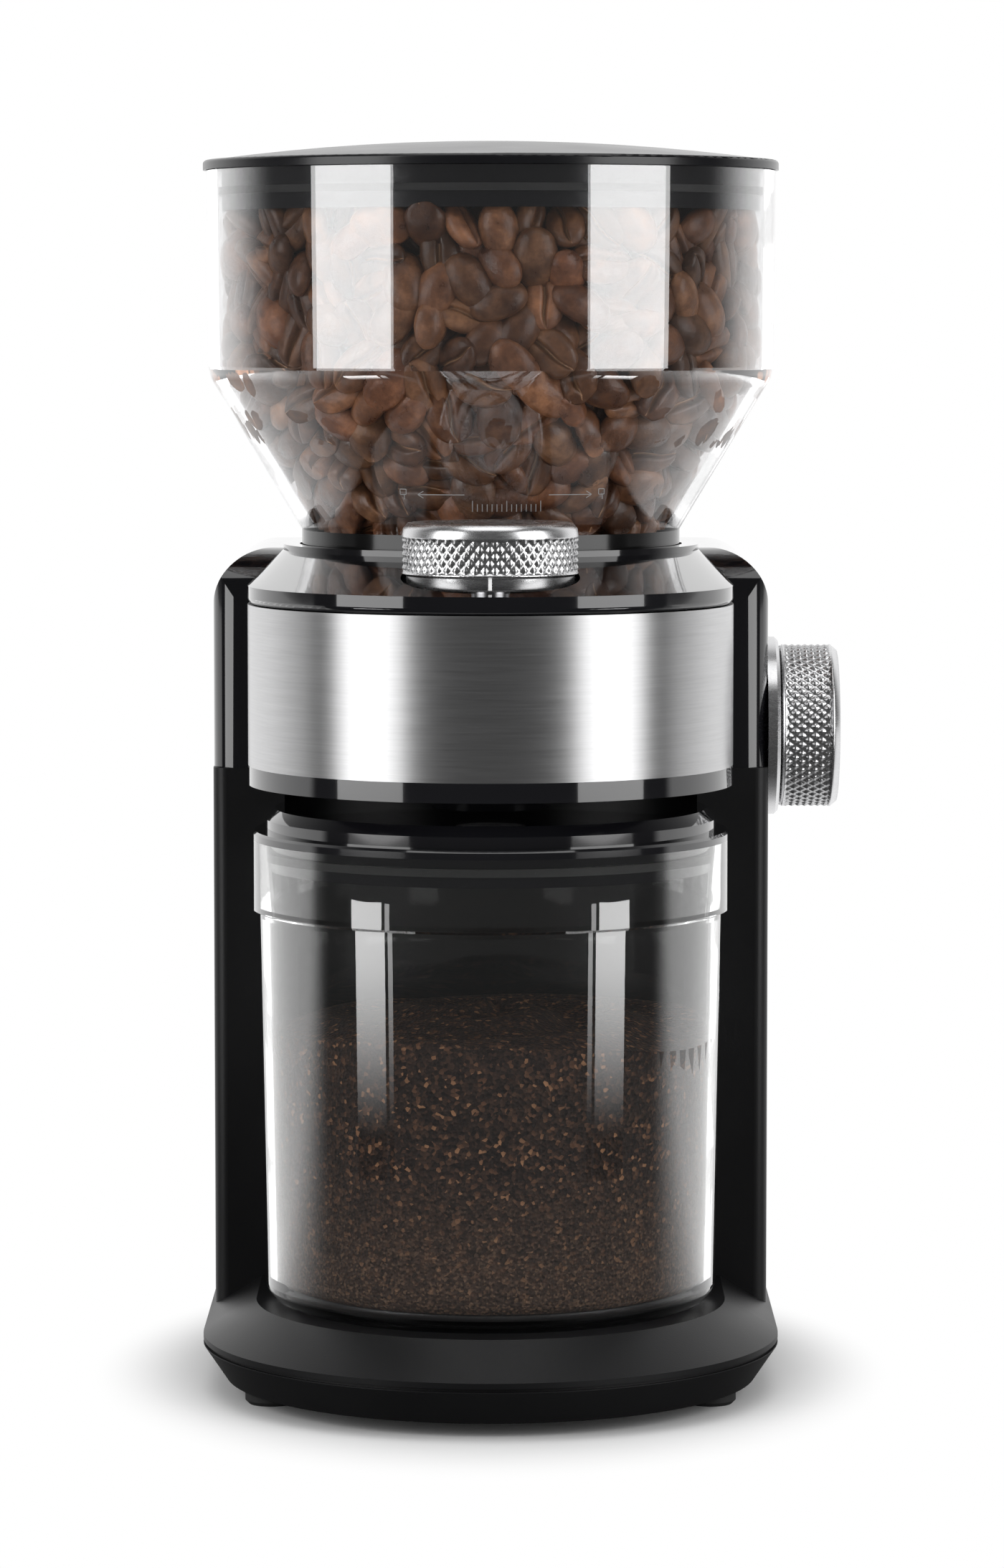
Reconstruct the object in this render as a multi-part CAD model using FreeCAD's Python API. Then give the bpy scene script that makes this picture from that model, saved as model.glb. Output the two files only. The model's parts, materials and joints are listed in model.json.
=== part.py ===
import FreeCAD, Part
import math
import os

# Burr coffee grinder, millimetres, +Z up, front towards -Y, right-hand side towards +X.
# Everything is laid out about the burr axis (x = 0, y = 0) with the table at z = 0.
# export() then moves each piece so that the origin is the bottom centre of the whole.

# ---- driving dimensions ----
# Heights stack up from the table: each level is the one below it plus a named step.

loose = 0.3               # plain clearance between moving or nested pieces
running_play = 0.05       # radial play of a shaft in its bush

# base
foot_height = 3.0
foot_r = 5.2
foot_x = 44.2
foot_front_y = -47.5
foot_rear_y = 55.0
base_overhang = 1.0
tray_height = 7.7
cover_height = 7.7
cover_edge_height = 1.1    # upright part of the cover's side
base_slope_run = 10.8
tray_slant_run = 4.6
tray_slant_rise = 6.8
tray_floor = 2.5
tray_wall = 6.0
cover_thickness = 3.0
seam_groove = 0.7          # shadow groove between tray and cover
base_screw_x = 30.0
base_screw_front_y = -58.0
base_screw_rear_y = -12.0
base_screw_r = 1.6
base_screw_head_r = 3.0

# jar
jar_gap = 0.15             # play under the jar, so that it slides
jar_height = 94.25
jar_rim_height = 14.8
jar_rim_r = 48.3
jar_foot_r = 45.8
jar_corner_r = 4.0
jar_shoulder_step = 1.2    # the rim stands out from the wall below it
jar_wall = 2.2
jar_floor = 2.6
jar_lid_flange = 1.8
jar_lid_height = 6.2
jar_lid_drum_step = 2.6    # the lid's drum is set in from the jar's rim
jar_lid_hole_r = 12.0
jar_lid_shell = 2.2
jar_lid_plug_depth = 5.8
jar_lid_plug_play = 1.0
jar_headroom = 4.9         # from the jar's lid up to the drum

# front drum and its steel band
drum_r = 49.07
drum_wall = 2.5
drum_floor = 2.5
band_thickness = 0.8
trim_height = 3.9
band_height = 32.5
lip_height = 3.7
deck_rise = 6.0
deck_shell = 3.0
drum_wrap = 28.0           # how far the drum's wall reaches back past its axis
bay_gap = 0.43             # the bay round the jar is wider than the drum by this

# case
leg_width = 8.1            # from the bay to the outside, at the widest place of the bay
leg_reach = 25.0           # from the jar's axis back to the legs' front faces
case_wall = 3.0
rear_corner_r = 22.0
shoulder_r = 12.0
shoulder_front_r = 6.0
leg_edge_r = 2.8
seam_step = 0.9            # the body's seam is a little above the drum's underside
vent_count = 7
vent_width = 2.4
vent_height = 26.0
vent_pitch = 6.5
vent_z = 34.0
gland_x = -22.0
gland_z = 24.0
gland_r = 5.0
gland_bore_r = 3.6
gland_flange_r = 7.5
gland_nut_depth = 4.0

# drive
gear_module = 1.0
motor_r = 21.0
motor_length = 62.4
motor_cap_height = 6.0
motor_gap = 2.0            # from the bay's wall to the motor
motor_back_gap = 0.5
motor_shaft_r = 2.5
motor_screw_x = 12.5
motor_screw_r = 1.5
motor_terminal_x = 10.0
motor_terminal_length = 3.0
motor_pad_thickness = 3.0
motor_pad_r = 12.0
motor_teeth = 14
idler_small_teeth = 14
gear_reach = 6.5           # the two gear distances together exceed the motor's by this
burr_teeth = 40
gear_width = 5.0
gear_side_play = 0.6
bush_flange = 1.2
gearbox_wall = 2.0
gearbox_margin = 1.0
gearbox_screw_r = 1.25
idler_axle_r = 2.5
burr_shaft_r = 4.0
bearing_r = 9.5
bush_r = 7.0

# burrs and grinding chamber
ring_outer_r = 24.0
ring_height = 11.2
ring_top_r = 21.5
cone_low_r = 18.0
cone_top_r = 9.0
cone_height = 13.5
cone_step = 1.5            # the ring burr starts this much above the cone's foot
burr_gap = 0.8
ring_clearance = 0.1
carrier_wall = 5.9
chamber_wall = 2.7
chamber_floor = 2.0
chamber_headroom = 2.3     # from the chamber's top to the deck's seat
carrier_flange_run = 3.9
carrier_flange_lift = 0.4
carrier_flange_thickness = 3.0
carrier_flange_drop = 9.4  # from the flange down to the ring burr's foot
outlet_half_width = 6.8
chute_r = 5.5
chute_wall = 1.5
chute_gap = 0.5
chute_drop = 1.3           # the spout reaches this far below the drum
paddle_play = 0.8
carrier_lug_step = 0.9
lug_lift = 0.8

# hopper and its seat in the deck
seat_thickness = 2.0
seat_play = 0.4
seat_ledge = 4.5
neck_clearance = 0.5
boss_wall = 3.4
boss_height = 1.2
hopper_wall = 2.2
neck_rise = 3.0            # the neck's cylinder stands this far out of the boss
cone_rise = 32.0
hopper_rise = 41.6
hopper_low_r = 58.3
hopper_top_r = 58.7
ring_drop = 0.6            # the dark funnel ring ends this far below the cone
throat_r = 21.0
lug_count = 3
lug_angle = 8.0

# hopper lid
lid_overhang = 0.6
lid_rim_height = 2.0
lid_dome = 3.9
lid_shell = 2.2
lid_collar_play = 1.1
lid_collar_depth = 8.4
lid_gap = 0.2
seal_bulge = 0.7

# top dial and start button
dial_r = 17.4
dial_collar_step = 0.8
dial_edge_margin = 3.17    # from the dial to the drum's front edge
dial_neck_gap = 2.0
dial_lift = 0.75
dial_collar_height = 2.95
dial_knurl_height = 8.7
dial_chamfer_height = 1.3
dial_recess_gap = 0.3
dial_recess_depth = 0.3
dial_pad_thickness = 3.0
button_r = 9.3
button_gap = 0.3
button_depth = 5.7
button_sink = 0.6
button_travel = 1.2
stem_r = 2.1
dial_shaft_r = 3.9
sensor_r = 12.0
sensor_height = 11.0
sensor_bush_r = 5.5

# boards and switches
board_rise = 11.6
board_thickness = 1.6
board_half_width = 20.0
board_front_y = -69.0
board_back_y = -44.0
board_post_r = 2.5
board_post_inset = 4.0
board_hole_r = 1.2
switch_height = 3.5
power_board_z = 30.0
power_board_gap = 4.0

# side dial
side_y = 15.0
side_rise = 8.3            # its axis above the drum's underside
side_r = 17.05
side_flange_r = 18.66
side_flange_thickness = 2.6
side_gap = 0.4
side_length = 12.1
side_shaft_r = 3.0
side_bush_wall = 2.0
side_bore_floor = 3.5

V = FreeCAD.Vector


# ---- helpers ----

def cyl(radius, z0, z1, x=0.0, y=0.0):
    """Upright cylinder."""
    return Part.makeCylinder(radius, z1 - z0, V(x, y, z0))


def tube(outer, inner, z0, z1, x=0.0, y=0.0):
    """Upright tube."""
    return cyl(outer, z0, z1, x, y).cut(cyl(inner, z0, z1, x, y))


def box(x0, x1, y0, y1, z0, z1):
    """Box from its corners."""
    return Part.makeBox(x1 - x0, y1 - y0, z1 - z0, V(x0, y0, z0))


def lathe(path, x=0.0, y=0.0):
    """Solid turned about the upright axis at (x, y).

    path is a closed outline of (r, z) points. An entry of two points is an arc: the
    first is on its middle, the second is its end.
    """
    edges = []
    start = V(path[0][0], 0, path[0][1])
    for entry in path[1:] + [path[0]]:
        if isinstance(entry[0], tuple):
            middle = V(entry[0][0], 0, entry[0][1])
            end = V(entry[1][0], 0, entry[1][1])
            edges.append(Part.Arc(start, middle, end).toShape())
        else:
            end = V(entry[0], 0, entry[1])
            if start.distanceToPoint(end) < 1e-6:
                continue
            edges.append(Part.LineSegment(start, end).toShape())
        start = end
    solid = Part.Face(Part.Wire(edges)).revolve(V(0, 0, 0), V(0, 0, 1), 360)
    solid.translate(V(x, y, 0))
    return solid


def corner_middle(centre_r, centre_z, radius, degrees):
    """Point on a round corner, for the middle of an arc in lathe()."""
    angle = math.radians(degrees)
    return (centre_r + radius * math.cos(angle), centre_z + radius * math.sin(angle))


def round_rect(x0, x1, y0, y1, front_r, back_r):
    """Face of a rectangle with round front (y0) and back (y1) corners."""
    k = 1 - math.sqrt(0.5)
    points = []
    corners = ((x1, y0, front_r, 1, -1), (x1, y1, back_r, 1, 1),
               (x0, y1, back_r, -1, 1), (x0, y0, front_r, -1, -1))
    for number, (cx, cy, r, sx, sy) in enumerate(corners):
        along_x = V(cx - sx * r, cy, 0)
        along_y = V(cx, cy - sy * r, 0)
        middle = V(cx - sx * r * k, cy - sy * r * k, 0)
        pair = (along_x, along_y) if number % 2 == 0 else (along_y, along_x)
        points.append((pair[0], middle, pair[1]))
    edges = []
    for number, (first, middle, last) in enumerate(points):
        edges.append(Part.Arc(first, middle, last).toShape())
        following = points[(number + 1) % len(points)][0]
        edges.append(Part.LineSegment(last, following).toShape())
    return Part.Face(Part.Wire(edges))


def prism(face, z0, z1):
    """Face in the XY plane raised from z0 to z1."""
    solid = face.extrude(V(0, 0, z1 - z0))
    solid.translate(V(0, 0, z0))
    return solid


def along_x(solid, x, y, z):
    """Piece modelled about the Z axis, laid along +X with its start at (x, y, z)."""
    turned = solid.copy()
    turned.rotate(V(0, 0, 0), V(0, 1, 0), 90)
    turned.translate(V(x, y, z))
    return turned


def frustum(lower_r, lower_y, lower_z, upper_r, upper_y, upper_z):
    """Solid between two level circles whose centres may be out of line."""
    wires = []
    for r, y, z in ((lower_r, lower_y, lower_z), (upper_r, upper_y, upper_z)):
        wires.append(Part.Wire(Part.makeCircle(r, V(0, y, z))))
    return Part.makeLoft(wires, True, True)


def join(solids):
    """Solids fused into one."""
    whole = solids[0].multiFuse(solids[1:])
    return whole.removeSplitter()


def around(solid, count, start=0.0, x=0.0, y=0.0):
    """Copies of a solid, evenly turned about the upright axis at (x, y)."""
    copies = []
    for number in range(count):
        copy = solid.copy()
        copy.rotate(V(x, y, 0), V(0, 0, 1), start + number * 360.0 / count)
        copies.append(copy)
    return copies


def gear(teeth, z0, z1, x, y, tooth_angle, bore):
    """Spur gear with involute flanks and one tooth centred on tooth_angle (degrees)."""
    addendum = 0.8 * gear_module
    dedendum = 1.1 * gear_module
    backlash = 0.16
    pitch_r = gear_module * teeth / 2
    base_r = pitch_r * math.cos(math.radians(20))
    tip_r = pitch_r + addendum
    root_r = pitch_r - dedendum

    def involute(radius):
        """Angle by which the flank has leaned over at a radius."""
        if radius <= base_r:
            return 0.0
        slope = math.sqrt((radius / base_r) ** 2 - 1)
        return slope - math.atan(slope)

    half_at_pitch = math.pi / (2 * teeth) - backlash / (2 * pitch_r)
    lowest = max(base_r, root_r)
    steps = 3
    radii = [lowest + (tip_r - lowest) * i / steps for i in range(steps + 1)]
    if root_r < lowest:
        radii.insert(0, root_r)
    flank = [(r, half_at_pitch + involute(pitch_r) - involute(r)) for r in radii]
    outline = []
    for tooth in range(teeth):
        centre = math.radians(tooth_angle) + 2 * math.pi * tooth / teeth
        polar = [(r, centre - half) for r, half in flank]
        polar += [(r, centre + half) for r, half in reversed(flank)]
        outline += [V(x + r * math.cos(a), y + r * math.sin(a), z0) for r, a in polar]
    wheel = Part.Face(Part.makePolygon(outline + [outline[0]])).extrude(V(0, 0, z1 - z0))
    return wheel.cut(cyl(bore, z0, z1, x, y))


def hex_prism(across, z0, z1, x=0.0, y=0.0):
    """Upright hexagonal bar."""
    corner = across / math.sqrt(3)
    points = [V(x + corner * math.cos(math.radians(60 * i)),
                y + corner * math.sin(math.radians(60 * i)), z0) for i in range(7)]
    return Part.Face(Part.makePolygon(points)).extrude(V(0, 0, z1 - z0))


def screw(x, y, head_z, head_h, head_r, shank_r, shank_end_z):
    """Round-headed screw with a hexagon socket. head_z is where head meets shank."""
    up = 1 if shank_end_z < head_z else -1
    low, high = sorted((head_z, head_z + up * head_h))
    head = cyl(head_r, low, high, x, y)
    socket_low, socket_high = sorted((head_z + up * head_h * 0.4, head_z + up * head_h))
    head = head.cut(hex_prism(head_r, socket_low, socket_high, x, y))
    shank_low, shank_high = sorted((head_z, shank_end_z))
    return join([head, cyl(shank_r, shank_low, shank_high, x, y)])


# ---- sizes that follow from the ones above ----

# levels, from the table up
base_seam_z = foot_height + tray_height
base_edge_z = base_seam_z + cover_edge_height
base_top_z = base_seam_z + cover_height
jar_bottom_z = base_top_z + jar_gap
jar_rim_z = jar_bottom_z + jar_height
jar_shoulder_z = jar_rim_z - jar_rim_height
jar_lid_top_z = jar_rim_z + jar_lid_height
drum_bottom_z = jar_lid_top_z + jar_headroom
seam_z = drum_bottom_z + seam_step
gearbox_floor_z = drum_bottom_z + drum_floor
trim_top_z = drum_bottom_z + trim_height
deck_lip_z = trim_top_z + band_height
deck_edge_z = deck_lip_z + lip_height
body_top_z = deck_edge_z + deck_rise
boss_top_z = body_top_z + boss_height
seat_floor_z = deck_lip_z
seat_top_z = seat_floor_z + seat_thickness
neck_top_z = boss_top_z + neck_rise
cone_top_z = neck_top_z + cone_rise
hopper_rim_z = cone_top_z + hopper_rise
lid_rim_z = hopper_rim_z + lid_gap
lid_edge_z = lid_rim_z + lid_rim_height
lid_apex_z = lid_edge_z + lid_dome
ring_top_z = neck_top_z - ring_drop

# gearbox, from its floor up
gearbox_floor_top = gearbox_floor_z + gearbox_wall
low_gear_z = gearbox_floor_top + bush_flange
low_gear_top = low_gear_z + gear_width
high_gear_z = low_gear_top + gear_side_play
high_gear_top = high_gear_z + gear_width
gearbox_lid_z = high_gear_top + gear_side_play
chamber_z = gearbox_lid_z + gearbox_wall
chamber_floor_top = chamber_z + chamber_floor

# grinding chamber, hung from the deck's seat down
chamber_top_z = deck_lip_z - chamber_headroom
carrier_flange_z = chamber_top_z + carrier_flange_lift
ring_low_z = carrier_flange_z - carrier_flange_drop
burr_ring_top_z = ring_low_z + ring_height
cone_low_z = ring_low_z - cone_step
cone_burr_top_z = cone_low_z + cone_height

# radii, from the burrs out to the neck's boss
chamber_r = ring_outer_r + ring_clearance + carrier_wall + loose
carrier_flange_r = chamber_r + carrier_flange_run
seat_inner_r = carrier_flange_r + seat_play
neck_r = seat_inner_r + seat_ledge
seat_r = neck_r + neck_clearance
boss_r = seat_r + boss_wall
lug_inner_r = chamber_r + carrier_lug_step
lug_outer_r = carrier_flange_r - loose
lug_low_z = carrier_flange_z + lug_lift
chute_y = -(chamber_r + chamber_wall + chute_gap)
chute_end_z = drum_bottom_z - chute_drop

# drum, bay and case: the top dial sits between the neck and the drum's front edge
dial_y = -(neck_r + dial_neck_gap + dial_r)
jar_y = dial_y - dial_r - dial_edge_margin + drum_r   # axis of drum, jar and base front
trim_r = drum_r
band_inner_r = drum_r - band_thickness
drum_inner_r = band_inner_r - drum_wall
bay_r = drum_r + bay_gap
bay_wall_r = bay_r + case_wall
body_half_width = bay_r + leg_width
body_front_y = jar_y + leg_reach
drum_cut_back_y = jar_y + drum_wrap
motor_y = jar_y + bay_wall_r + motor_gap + motor_r
body_back_y = motor_y + motor_r + case_wall + motor_back_gap
base_half_width = body_half_width + base_overhang
base_back_y = body_back_y + base_overhang
base_front_y = jar_y - base_half_width

# gear centres: the idler meshes with the motor below and with the burr's gear above
idler_to_burr = gear_module * (idler_small_teeth + burr_teeth) / 2
idler_big_teeth = round(2 * (motor_y + gear_reach - idler_to_burr) / gear_module) - motor_teeth
idler_to_motor = gear_module * (idler_big_teeth + motor_teeth) / 2
idler_y = (idler_to_burr ** 2 - idler_to_motor ** 2 + motor_y ** 2) / (2 * motor_y)
idler_x = math.sqrt(idler_to_burr ** 2 - idler_y ** 2)

# motor's lower end
motor_pad_top = gearbox_floor_z - motor_length - motor_cap_height
motor_pad_z = motor_pad_top - motor_terminal_length - motor_pad_thickness

# jar and lids
jar_shoulder_r = jar_rim_r - jar_shoulder_step
jar_lid_drum_r = jar_rim_r - jar_lid_drum_step
jar_plug_r = jar_rim_r - jar_wall - jar_lid_plug_play
lid_r = hopper_top_r + lid_overhang
lid_collar_r = hopper_top_r - hopper_wall - lid_collar_play

# top dial
dial_collar_r = dial_r - dial_collar_step
dial_bottom_z = deck_edge_z + dial_lift
dial_knurl_z = dial_bottom_z + dial_collar_height
dial_shoulder_z = dial_knurl_z + dial_knurl_height
dial_top_z = dial_shoulder_z + dial_chamfer_height
dial_floor_z = dial_bottom_z - dial_recess_depth
dial_pad_z = dial_floor_z - dial_pad_thickness
button_floor_z = dial_top_z - button_depth
button_top_z = dial_top_z - button_sink

# boards and switches
board_z = gearbox_floor_z + board_rise
switch_top_z = board_z + board_thickness + switch_height
power_board_x = -(body_half_width - case_wall) + power_board_gap

# side dial
side_z = drum_bottom_z + side_rise
side_face_start = body_half_width + side_flange_thickness
side_face_x = side_face_start + side_gap + side_length
side_bush_r = side_shaft_r + side_bush_wall

origin_x = (side_face_x - base_half_width) / 2
origin_y = (base_front_y + base_back_y) / 2


def body_face(inset, front_r):
    """Body outline drawn in by inset, before the bay is cut."""
    return round_rect(-body_half_width + inset, body_half_width - inset,
                      body_front_y + inset, body_back_y - inset,
                      max(front_r - inset, 0.6), rear_corner_r - inset)


def base_solid(inset, z0, z1):
    """Base outline (round front, body-shaped rear) drawn in by inset, as a solid."""
    half = base_half_width - inset
    front = cyl(half, z0, z1, 0, jar_y)
    corner = rear_corner_r + base_overhang - inset
    rear = round_rect(-half, half, jar_y, base_back_y - inset, 0.5, corner)
    square = box(-half, half, jar_y, 0, z0, z1)
    return join([front, prism(rear, z0, z1), square])


def outer_edges(solid, z):
    """Edges of a solid that lie level at height z."""
    found = []
    for edge in solid.Edges:
        limits = edge.BoundBox
        if abs(limits.ZMin - z) < 0.001 and abs(limits.ZMax - z) < 0.001:
            found.append(edge)
    return found


# ---- base ----

def base_tray():
    z0 = foot_height
    shell = slanted_base(z0, tray_slant_run, tray_slant_rise)
    groove_z = base_seam_z - seam_groove
    rim = base_solid(0, groove_z, base_seam_z).cut(base_solid(seam_groove, groove_z, base_seam_z))
    shell = shell.cut(rim)
    pocket = base_solid(tray_wall, z0 + tray_floor, base_seam_z)
    shell = shell.cut(pocket)
    for x, y in base_screw_places():
        shell = shell.cut(cyl(base_screw_head_r + running_play, z0, z0 + tray_floor, x, y))
    return shell


def slanted_base(z, run, rise):
    """Base from its seam to its face at height z, its side leaning in by run there."""
    half = base_half_width
    corner = rear_corner_r + base_overhang
    far = z + rise
    cone = frustum(half - run, jar_y, z, half, jar_y, far)
    wires = []
    for inset, height in ((run, z), (0, far)):
        rear = round_rect(-half + inset, half - inset, jar_y, base_back_y - inset,
                          0.5, corner - inset)
        wire = rear.OuterWire
        wire.translate(V(0, 0, height))
        wires.append(wire)
    block = Part.makeLoft(wires, True, True)
    low, high = sorted((base_seam_z, far))
    return join([cone, block, base_solid(0, low, high)])


def base_cover():
    cover = slanted_base(base_top_z, base_slope_run, base_edge_z - base_top_z)
    pocket = base_solid(base_slope_run + cover_thickness, base_seam_z,
                        base_top_z - cover_thickness)
    return cover.cut(pocket).cut(body_block())


def body_block():
    """Space of the lower body's outline where it passes through the base cover."""
    block = prism(body_face(0, leg_edge_r), base_seam_z, seam_z)
    return block.cut(cyl(bay_r, base_seam_z, seam_z, 0, jar_y))


def foot_places():
    return [(sx * foot_x, y) for sx in (-1, 1) for y in (foot_front_y, foot_rear_y)]


def base_screw_places():
    return [(sx * base_screw_x, y) for sx in (-1, 1)
            for y in (base_screw_front_y, base_screw_rear_y)]


def rubber_feet():
    foot = lathe([(0, 0), (foot_r - 0.8, 0), (foot_r, 0.8), (foot_r, foot_height),
                  (0, foot_height)])
    feet = []
    for x, y in foot_places():
        copy = foot.copy()
        copy.translate(V(x, y, 0))
        feet.append(copy)
    return Part.makeCompound(feet)


def base_screws():
    head_z = foot_height + tray_floor
    end = base_top_z - cover_thickness
    return Part.makeCompound([
        screw(x, y, head_z, tray_floor - 0.4, base_screw_head_r, base_screw_r, end)
        for x, y in base_screw_places()])


# ---- case ----

def lower_body():
    outer = body_block()
    inner = prism(body_face(case_wall, leg_edge_r), base_seam_z, seam_z)
    inner = inner.cut(cyl(bay_wall_r, base_seam_z, seam_z, 0, jar_y))
    shell = outer.cut(inner)
    first = -vent_pitch * (vent_count - 1) / 2
    for number in range(vent_count):
        x = first + number * vent_pitch
        shell = shell.cut(box(x - vent_width / 2, x + vent_width / 2,
                              body_back_y - case_wall - 1, body_back_y + 1,
                              vent_z, vent_z + vent_height))
    gland = Part.makeCylinder(gland_r, case_wall + 2,
                              V(gland_x, body_back_y - case_wall - 1, gland_z), V(0, 1, 0))
    return shell.cut(gland)


def cord_gland():
    """Bush in the back wall where a mains cord goes in."""
    y = body_back_y - case_wall
    body = Part.makeCylinder(gland_r, case_wall, V(gland_x, y, gland_z), V(0, 1, 0))
    flange = Part.makeCylinder(gland_flange_r, base_overhang,
                               V(gland_x, body_back_y, gland_z), V(0, 1, 0))
    nut = Part.makeCylinder(gland_flange_r, gland_nut_depth,
                            V(gland_x, y - gland_nut_depth, gland_z), V(0, 1, 0))
    bore = Part.makeCylinder(gland_bore_r, case_wall + base_overhang + gland_nut_depth,
                             V(gland_x, y - gland_nut_depth, gland_z), V(0, 1, 0))
    return join([body, flange, nut]).cut(bore)


def shoulder_solid(inset):
    """Upper body's outside, or its hollow when inset is the wall."""
    plan = prism(body_face(inset, shoulder_front_r), seam_z, body_top_z - inset)
    across = section_bar(body_half_width - inset, shoulder_r - inset, inset)
    depth = (body_back_y - body_front_y) / 2 - inset
    middle = (body_back_y + body_front_y) / 2
    lengthways = section_bar(depth, shoulder_r - inset, inset)
    lengthways.rotate(V(0, 0, 0), V(0, 0, 1), 90)
    lengthways.translate(V(0, middle, 0))
    return plan.common(across).common(lengthways)


def section_bar(half, radius, inset):
    """Long bar along Y: flat below, with round upper edges."""
    top = body_top_z - inset
    k = radius * math.sqrt(0.5)
    a = V(-half, 0, seam_z)
    b = V(-half, 0, top - radius)
    c = V(-half + radius, 0, top)
    d = V(half - radius, 0, top)
    e = V(half, 0, top - radius)
    f = V(half, 0, seam_z)
    left = Part.Arc(b, V(c.x - k, 0, b.z + k), c)
    right = Part.Arc(d, V(d.x + k, 0, e.z + k), e)
    edges = [Part.LineSegment(a, b).toShape(), left.toShape(),
             Part.LineSegment(c, d).toShape(), right.toShape(),
             Part.LineSegment(e, f).toShape(), Part.LineSegment(f, a).toShape()]
    bar = Part.Face(Part.Wire(edges)).extrude(V(0, 400, 0))
    bar.translate(V(0, -200, 0))
    return bar


def deck_envelope():
    """Outside of the deck: lip, slope up to the neck boss."""
    lip = cyl(drum_r, deck_lip_z, deck_edge_z, 0, jar_y)
    slope = frustum(drum_r, jar_y, deck_edge_z, boss_r, 0, body_top_z)
    boss = cyl(boss_r, body_top_z, boss_top_z)
    return join([lip, slope, boss])


def upper_body():
    shell = shoulder_solid(0).cut(shoulder_solid(case_wall))
    shell = shell.cut(cyl(drum_r, seam_z, deck_lip_z, 0, jar_y))
    shell = shell.cut(deck_envelope())
    shell = shell.cut(cyl(boss_r - 1.0, seat_floor_z, body_top_z))
    start = V(body_half_width - case_wall - 1, side_y, side_z)
    bush_hole = Part.makeCylinder(side_bush_r, case_wall + 2, start, V(1, 0, 0))
    return shell.cut(bush_hole)


def top_deck():
    deck = deck_envelope()
    lip_edge = outer_edges(deck, deck_lip_z)
    deck = deck.makeFillet(1.4, lip_edge)
    inner_r = drum_r - deck_shell
    inner_top = body_top_z - deck_shell
    inner_edge_z = deck_edge_z - deck_shell
    hollow = join([cyl(inner_r, deck_lip_z - 1, inner_edge_z, 0, jar_y),
                   frustum(inner_r, jar_y, inner_edge_z, boss_r - 1.5, 0, inner_top)])
    seat_wall_r = boss_r - 1.0
    seat = cyl(seat_wall_r, seat_floor_z, body_top_z)
    pad = cyl(dial_r + 3, dial_pad_z, dial_floor_z, 0, dial_y).common(
        cyl(inner_r, dial_pad_z, dial_floor_z, 0, jar_y))
    shell = join([deck.cut(hollow), seat, pad])
    shell = shell.cut(cyl(seat_r, seat_top_z, boss_top_z + 1))
    shell = shell.cut(cyl(seat_inner_r, seat_floor_z - 1, seat_top_z + 1))
    recess = cyl(dial_r + dial_recess_gap, dial_floor_z, boss_top_z + 1, 0, dial_y)
    bush_hole = cyl(sensor_bush_r, dial_pad_z - 1, dial_floor_z + 1, 0, dial_y)
    return shell.cut(recess).cut(bush_hole)


def front_housing():
    """Round front of the case: drum wall, lower trim, floor and the board's posts."""
    wall = tube(band_inner_r, drum_inner_r, drum_bottom_z, deck_lip_z, 0, jar_y)
    trim = tube(trim_r, drum_inner_r, drum_bottom_z, trim_top_z, 0, jar_y)
    wall = join([wall, trim])
    wall = wall.cut(box(-80, 80, drum_cut_back_y, 80, gearbox_floor_z, 200))
    floor = cyl(trim_r, drum_bottom_z, gearbox_floor_z, 0, jar_y)
    posts = [cyl(board_post_r, gearbox_floor_z, board_z, x, y) for x, y in board_posts()]
    whole = join([wall, floor] + posts)
    return whole.cut(cyl(chute_r + chute_wall, drum_bottom_z - 1, gearbox_floor_z + 1,
                         0, chute_y))


def board_posts():
    return [(sx * (board_half_width - board_post_inset), y) for sx in (-1, 1)
            for y in (board_front_y + board_post_inset, board_back_y - board_post_inset)]


def steel_band():
    band = tube(drum_r, band_inner_r, trim_top_z, deck_lip_z, 0, jar_y)
    return band.cut(box(-80, 80, drum_cut_back_y, 80, 0, 200))


# ---- drive train ----

def gearbox_face(margin):
    """Outline round the three gears, margin outside their tips."""
    tip = 0.8 * gear_module + gearbox_margin + margin
    burr_tip = gear_module * burr_teeth / 2 + tip
    idler_tip = gear_module * idler_big_teeth / 2 + tip
    motor_tip = gear_module * motor_teeth / 2 + tip
    corner = 4.0 + margin
    return round_rect(-burr_tip, idler_x + idler_tip, -burr_tip,
                      motor_y + motor_tip, corner, corner)


def gearbox_screw_places():
    """Four screws just inside the gearbox's corners."""
    limits = gearbox_face(0).BoundBox
    gap = 3.6
    return [(limits.XMin + gap, limits.YMin + gap), (limits.XMax - gap, limits.YMin + gap),
            (limits.XMin + gap, limits.YMax - gap), (limits.XMax - gap, limits.YMax - gap)]


def gearbox_base():
    tub = prism(gearbox_face(gearbox_wall), gearbox_floor_z, gearbox_lid_z)
    tub = tub.cut(prism(gearbox_face(0), gearbox_floor_top, gearbox_lid_z))
    posts = [cyl(3.0, gearbox_floor_z, gearbox_lid_z, x, y)
             for x, y in gearbox_screw_places()]
    tub = join([tub] + posts)
    tub = tub.cut(cyl(bush_r, gearbox_floor_z, gearbox_lid_z))
    tub = tub.cut(cyl(idler_axle_r, gearbox_floor_z, gearbox_lid_z, idler_x, idler_y))
    tub = tub.cut(cyl(motor_shaft_r + loose, gearbox_floor_z, gearbox_lid_z, 0, motor_y))
    for x, y in motor_screw_places():
        tub = tub.cut(cyl(motor_screw_r, gearbox_floor_z, gearbox_lid_z, x, y))
    for x, y in gearbox_screw_places():
        tub = tub.cut(cyl(gearbox_screw_r, gearbox_floor_z, gearbox_lid_z, x, y))
    return tub


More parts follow.
